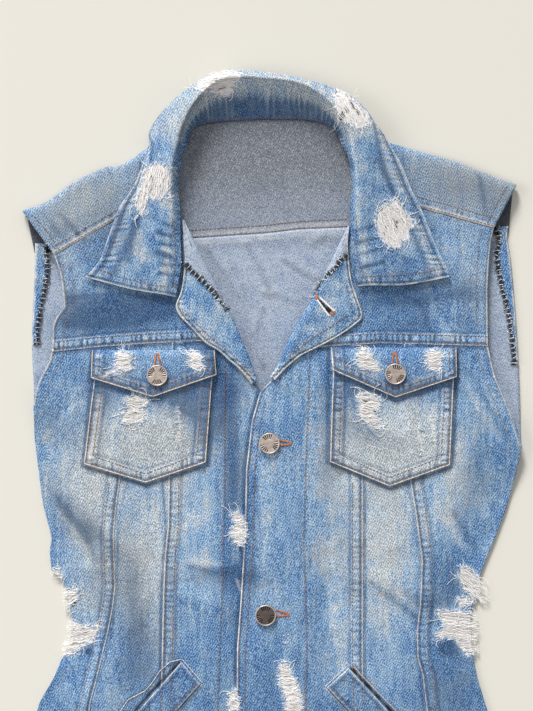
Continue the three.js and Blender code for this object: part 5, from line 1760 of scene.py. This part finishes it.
def thread_between(start, end, level, angle, bow, lift):
    points = []
    for step in range(11):
        share = step / 10
        swell = math.sin(math.pi * share)
        lengthways = start + (end - start) * share
        phase = lengthways * 0.55 + level * 0.4 + math.sin(level * 0.9)
        across = level + bow * swell + 0.8 * math.sin(phase)
        x = lengthways * math.cos(angle) - across * math.sin(angle)
        y = lengthways * math.sin(angle) + across * math.cos(angle)
        points.append([x, y, 0.1 + lift * swell])
    return np.array(points)


def curl(x, y, heading, length, bend):
    points = []
    for step in range(8):
        points.append([x, y, 0.25 + 0.5 * math.sin(step * 0.4) * chance.random()])
        x += length / 7 * math.cos(heading)
        y += length / 7 * math.sin(heading)
        heading += bend + chance.uniform(-0.15, 0.15)
    return np.array(points)


def ladder(rip):
    """White threads across a rip, and white and blue tufts round it."""
    white, blue = [], []
    angle = math.radians(rip["turn"])
    levels = [y * math.cos(angle) - x * math.sin(angle) for x, y in rip["outline"]]
    level = min(levels) + 0.4
    while level < max(levels):
        drift = 1.5 * math.sin(level * 0.55) + 0.8 * math.sin(level * 1.37 + 1)
        for start, end in spans(rip["outline"], angle, level):
            start -= chance.uniform(-1.4, 2.4)
            end += chance.uniform(-1.4, 2.4)
            bow = drift + chance.uniform(-1.3, 1.3)
            white.append(thread_between(start, end, level, angle, bow, chance.uniform(0.2, 0.9)))
        level += chance.choice([0.4, 0.6, 0.9, 1.5])
    closed = rip["outline"] + rip["outline"][:1]
    middle_x = sum(x for x, _ in rip["outline"]) / len(rip["outline"])
    middle_y = sum(y for _, y in rip["outline"]) / len(rip["outline"])
    for (ax, ay), (bx, by) in zip(closed, closed[1:]):
        for _ in range(int(math.hypot(bx - ax, by - ay) * 1.5)):
            share = chance.random()
            x, y = ax + (bx - ax) * share, ay + (by - ay) * share
            outward = math.atan2(y - middle_y, x - middle_x)
            lean = angle if math.cos(outward - angle) > 0 else angle + math.pi
            heading = lean + chance.uniform(-0.7, 0.7)
            tuft = curl(x, y, heading, chance.uniform(2, 5), chance.uniform(-0.15, 0.15))
            (blue if chance.random() < 0.45 else white).append(tuft)
    for _ in range(rip["loose"]):
        x, y = chance.choice(rip["outline"])
        heading = math.atan2(y - middle_y, x - middle_x) + chance.uniform(-1, 1)
        white.append(curl(x, y, heading, chance.uniform(7, 15), chance.uniform(-0.35, 0.35)))
    return white, blue


def draped(lines, floor=0.3):
    """Threads follow the cloth below, and bridge what falls away at its edge."""
    result = []
    for line in lines:
        z = top_at(everything, line[:, 0], line[:, 1], missing=np.nan)
        if np.all(np.isnan(z)):
            continue
        known = ~np.isnan(z)
        z = np.interp(np.arange(len(z)), np.arange(len(z))[known], z[known])
        z = np.maximum(z, np.convolve(np.pad(z, 1, mode="edge"), np.ones(3) / 3, mode="valid"))
        result.append(placed(line[:, 0], line[:, 1], np.maximum(z + line[:, 2], floor)))
    return result


white_lines, blue_lines = [], []
for row in RIPS:
    threads = ladder(dict(zip(RIP_COLUMNS, row)))
    white_lines += threads[0]
    blue_lines += threads[1]
STRANDS = [
    [(364, 421), (369, 429), (375, 435), (380, 441)], [(361, 419), (367, 428), (374, 437)],
    [(119, 371), (110, 374), (103, 379)], [(120, 375), (112, 376), (104, 377)],
    [(346, 318), (352, 322)], [(349, 166), (353, 176)], [(284, 289), (287, 297), (286, 303)],
]
for strand in STRANDS:
    path = line_through(*strand, step=2)
    blue_lines.append(np.column_stack([path, np.full(len(path), 0.4)]))
for x, y, tall in [(178, 424, 18), (171, 430, 8), (434, 430, 15), (421, 443, 16), (47, 452, 8),
                   (286, 640, 10), (509, 174, 6), (120, 372, 3)]:
    for _ in range(int(tall * 1.3)):
        spot_x, spot_y = x + chance.gauss(0, 1.2), y + chance.uniform(-tall, tall)
        tuft = curl(spot_x, spot_y, chance.choice([0, math.pi]), chance.uniform(1.2, 3.4), 0.1)
        (white_lines if chance.random() < 0.6 else blue_lines).append(tuft)
RIMS = [
    [(181.5, 659.5), (170, 662), (160, 671), (152, 683), (145, 691), (128, 700), (108, 730),
     (92, 754)],
    [(354.5, 666.5), (361, 675), (400, 715), (439, 760)],
    [(182.5, 659.8), (202.4, 683)], [(202.4, 684.5), (120.5, 777)],
    [(346.5, 667), (325.4, 686.4)], [(325.4, 688), (409.5, 778)],
]
spin_white = tube_tree(WHITE)
spin_blue = tube_tree(BLUE_THREAD)
spin_rim = tube_tree(thread_look("worn_rim", (176, 164, 152), (248, 245, 240)))
for cut in POCKETS.values():
    left, right, _, foot = cut["edges"]
    RIMS.append([(along(left, 396) + 0.7, 396), (foot[0][0] + 0.7, foot[0][1] - 0.5),
                 (foot[1][0], foot[1][1] - 0.8), (foot[2][0] - 0.7, foot[2][1] - 0.5),
                 (along(right, 390) - 0.7, 390)])
    left, right, top, foot = cut["flap"]
    RIMS.append([(left[0][1] + 0.7, left[0][0] + 3), (foot[0][0] + 0.7, foot[0][1] - 0.6),
                 (foot[1][0], foot[1][1] - 0.8), (foot[2][0] - 0.7, foot[2][1] - 0.6),
                 (right[0][1] - 0.7, right[0][0] + 3)])
for rows in (LAPEL_LEFT, LAPEL_RIGHT):
    fold, edge = np.hsplit(spread_rows(rows, 4), 2)
    inset = (fold - edge) / np.linalg.norm(fold - edge, axis=1, keepdims=True)
    RIMS.append([tuple(point) for point in edge + 0.8 * inset])
rims = [line_through(*rim, step=1.5) for rim in RIMS]
grown("welt_rims", draped([np.column_stack([rim, np.full(len(rim), 0.15)]) for rim in rims]), spin_rim,
      Radius=0.00036)
grown("bare_weft_threads", draped(white_lines), spin_white, Radius=0.00019)
grown("broken_warp_threads", draped(blue_lines), spin_blue, Radius=0.00020)

# %% [markdown]
# ## Overlocked edges
#
# The raw edges of the facings are bound with a dense zigzag of navy and white thread.

# %% The overlock
def zigzag(path, width=4.8, pitch=0.55):
    path = line_through(*path, step=pitch)
    run = np.gradient(path, axis=0)
    normal = np.stack([-run[:, 1], run[:, 0]], axis=1)
    normal /= np.linalg.norm(normal, axis=1, keepdims=True)
    swing = np.where(np.arange(len(path)) % 2 == 0, 0.5, -0.5) * width
    swing = swing * (0.9 + 0.7 * uneven(path[:, 1], path[:, 0], 1.6, 9))
    return path + normal * swing[:, None]


overlock_paths = [
    [(x, y) for y, x in FACING_LEFT], [(x, y) for y, x in FACING_RIGHT],
    OVERLOCK_LEFT, OVERLOCK_RIGHT,
]
overlock_lines = []
for path in overlock_paths:
    line = zigzag(path)
    overlock_lines.append(np.column_stack([line, np.full(len(line), 0.35)]))
spin_navy = tube_tree(NAVY)
loops = []
for path in overlock_paths:
    for x, y in line_through(*path, step=3.2):
        heading = chance.uniform(0, 2 * math.pi)
        loops.append(curl(x + chance.uniform(-2.6, 2.6), y, heading, chance.uniform(2, 5), 0.5))
grown("overlock_navy", draped(overlock_lines), spin_navy, Radius=0.0005)
second = [line[i:i + 2] + np.array([0, 0.4, 0.35]) for line in overlock_lines
          for i in range(0, len(line) - 2, 9)]
grown("overlock_white", draped(second + loops), spin_white, Radius=0.00026)

# %% [markdown]
# ## Buttonholes
#
# Each buttonhole is bound with a dense row of orange thread, of which a short end shows
# beside the button. The open one on the right lapel shows its slit and is bound in white,
# with an orange bar at both ends.

# %% Bound buttonholes
def buttonhole(start, end, width=3.4, gap=0.4, open_at=0.0):
    """Short threads across both sides of a buttonhole's cut. open_at parts the sides at the start."""
    start, end = np.array(start, dtype=float), np.array(end, dtype=float)
    length = np.hypot(*(end - start))
    way = (end - start) / length
    side = np.array([-way[1], way[0]])
    lines = []
    for number in range(int(length / 0.5)):
        part = gap + open_at * max(0, 1 - number * 0.5 / length)
        spot = start + way * number * 0.5
        for hand in (-1, 1):
            inner = spot + side * hand * part
            outer = spot + side * hand * (part + width / 2)
            lines.append(np.array([[*inner, 0.2], [*((inner + outer) / 2), 0.6], [*outer, 0.2]]))
    return lines


HOLES = [
    [(157.6, 365), (157.3, 353)], [(395.3, 363), (394.2, 351)], [(278, 442.7), (291.5, 443.3)],
    [(276, 613), (289.5, 614.5)], [(276, 780), (289, 780)],
]
hole_lines = [line for start, end in HOLES for line in buttonhole(start, end, 2.6, 0.0, 2.4)]
for start, end in ([(315.5, 296), (318, 299)], [(331.5, 312), (334, 315)]):
    hole_lines += buttonhole(start, end, 3.4, 0.0)
spin_rust = tube_tree(RUST)
grown("buttonholes", draped(hole_lines), spin_rust, Radius=0.0004)
lapel_hole = buttonhole((331.5, 313.5), (318, 298.5), 2.8, 1.0, 1.8)
grown("buttonhole_lapel", draped(lapel_hole), spin_white, Radius=0.0003)

# %% [markdown]
# ## Buttons
#
# A jacket button is a stamped cap on a shank: a low rim round a flat face, with three fans
# of short, sunk rays as a generic ornament. Its section is turned round its axis, and the
# rays are pressed into the face between two radii.

# %% Turned caps with rays
BUTTON_SECTION = [
    [3.2, 0.0], [3.2, 1.4], [7.6, 1.5], [8.5, 1.75], [8.8, 2.2], [8.8, 2.7], [8.5, 3.05],
    [8.15, 3.15], [7.9, 3.05], [7.75, 2.9], [7.5, 2.9], [7.2, 2.9], [6.8, 2.9], [6.2, 2.9],
    [5.6, 2.9], [5.0, 2.9], [4.5, 2.9], [4.1, 2.9], [3.6, 2.92], [2.4, 2.95], [1.2, 2.97],
    [0.5, 2.98],
]
SEGMENTS = 180
RAY_STEP = 15.0


def rays(angle, radius, turn):
    """1 in the sunk rays: three fans of five, near the rim."""
    degrees = np.degrees(angle) - turn
    fan = (degrees + 60) % 120 - 60
    ray = (fan + RAY_STEP / 2) % RAY_STEP - RAY_STEP / 2
    in_fan = smooth((2.5 * RAY_STEP - np.abs(fan)) / 2)
    in_ring = smooth((radius - 4.0) / 0.4 + 0.5) * smooth((7.5 - radius) / 0.3 + 0.5)
    return smooth((5.0 - np.abs(ray)) / 1.6) * in_fan * in_ring


def button(name, turn, tarnish):
    low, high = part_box(name)
    centre = [(low[0] + high[0]) / 2, (low[1] + high[1]) / 2]
    angle = np.arange(SEGMENTS) / SEGMENTS * 2 * np.pi
    points, faces, sunk, stained = [], [], [], []
    for radius, height in BUTTON_SECTION:
        ray = rays(angle, radius, turn) if height > 2 and radius < 7.6 else 0 * angle
        x = centre[0] + radius / 1000 * np.cos(angle)
        y = centre[1] + radius / 1000 * np.sin(angle)
        z = low[2] + (height - 0.3 * ray) / 1000
        points += np.stack([x, y, z], axis=1).tolist()
        rim_line = 1.0 if 7.6 < radius < 7.8 or radius > 8.75 else 0.0
        sunk += np.maximum(ray, 0.6 * rim_line).tolist()
        stained += [tarnish if radius < 7.8 else 0.0] * SEGMENTS
    for ring in range(len(BUTTON_SECTION) - 1):
        for i in range(SEGMENTS):
            j = (i + 1) % SEGMENTS
            start, end = ring * SEGMENTS, (ring + 1) * SEGMENTS
            faces.append([start + i, start + j, end + j, end + i])
    faces.append([i for i in range(SEGMENTS)][::-1])
    faces.append([(len(BUTTON_SECTION) - 1) * SEGMENTS + i for i in range(SEGMENTS)])
    mesh = bpy.data.meshes.new(name)
    mesh.from_pydata(points, [], faces)
    for key, values in (("recess", sunk), ("tarnish", stained)):
        mesh.attributes.new(key, "FLOAT", "POINT").data.foreach_set("value", values)
    mesh.polygons.foreach_set("use_smooth", np.ones(len(faces), dtype=bool))
    mesh.materials.append(METAL)
    piece = bpy.data.objects.new(f"{name}_cap", mesh)
    bpy.context.scene.collection.objects.link(piece)
    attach(piece, "root")
    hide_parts(name)


BUTTONS = [
    ["button_pocket_left", 30, 0.0], ["button_pocket_right", 75, 0.15],
    ["button_front_1", -15, 0.0],
    ["button_front_2", 90, 0.9], ["button_front_3", 40, 0.1],
]
for row in BUTTONS:
    button(*row)
print("buttons:", len(BUTTONS))

# %% [markdown]
# ## The pieces in place of their solids
#
# Every piece of cloth rides on the one body and stands for its solid, which is hidden. The
# areas are about 1.12 times the cloth modelled here, for the seam allowances, and were not
# measured on a real vest.

# %% Pieces on the body
for name, piece in pieces.items():
    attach(piece, "root")
    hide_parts(name)

# %% [markdown]
# ## The floor, the light and the camera
#
# The photograph was taken from straight above. Daylight comes low from beyond the collar,
# so the collar and the flaps throw soft shadows toward the hem, and a bright room fills
# them. A long lens far away keeps the flat vest free of perspective.

# %% A warm white floor
floor_mesh = bpy.data.meshes.new("floor")
floor_mesh.from_pydata([(-3, -3, -0.0004), (3, -3, -0.0004), (3, 3, -0.0004), (-3, 3, -0.0004)],
                       [], [(0, 1, 2, 3)])
floor = bpy.data.objects.new("floor", floor_mesh)
bpy.context.scene.collection.objects.link(floor)
floor_look = Shader("warm_white_paper", 0.9)
floor_look.colour(tone(225, 222, 213))
floor_mesh.materials.append(floor_look.material)

# %% Daylight, a bright room and a long lens
def lamp(kind, name, place, aim, power, colour=(1, 1, 1)):
    light = bpy.data.lights.new(name, kind)
    light.energy, light.color = power, colour
    holder = bpy.data.objects.new(name, light)
    bpy.context.scene.collection.objects.link(holder)
    holder.location = place
    direction = Vector(aim) - Vector(place)
    holder.rotation_euler = direction.to_track_quat("-Z", "Y").to_euler()
    return light


daylight = lamp("SUN", "daylight", (-0.45, 1.7, 0.88), (0, 0, 0), 3.5, (1.0, 0.99, 0.975))
daylight.angle = math.radians(16)
window = lamp("AREA", "window", (-2.4, 0.2, 1.6), (0, 0, 0), 22, (1.0, 0.99, 0.97))
window.shape, window.size = "SQUARE", 1.4
world = bpy.data.worlds.new("studio")
bpy.context.scene.world = world
world.use_nodes = True
world.node_tree.nodes["Background"].inputs["Color"].default_value = (1, 0.99, 0.975, 1)
world.node_tree.nodes["Background"].inputs["Strength"].default_value = 0.45
CAMERA_HEIGHT = 2.4
camera_data = bpy.data.cameras.new("camera")
camera = bpy.data.objects.new("camera", camera_data)
bpy.context.scene.collection.objects.link(camera)
picture_x, picture_y, _ = placed(266.5, 355.5, 0).tolist()
camera.location = (picture_x, picture_y, CAMERA_HEIGHT)
camera_data.sensor_fit = "HORIZONTAL"
camera_data.sensor_width = 36
camera_data.lens = 36 * (CAMERA_HEIGHT - 0.009) / (533 * UNIT)
bpy.context.scene.camera = camera
bpy.context.scene.view_settings.view_transform = "Standard"
print("lens in mm:", round(camera_data.lens, 1))
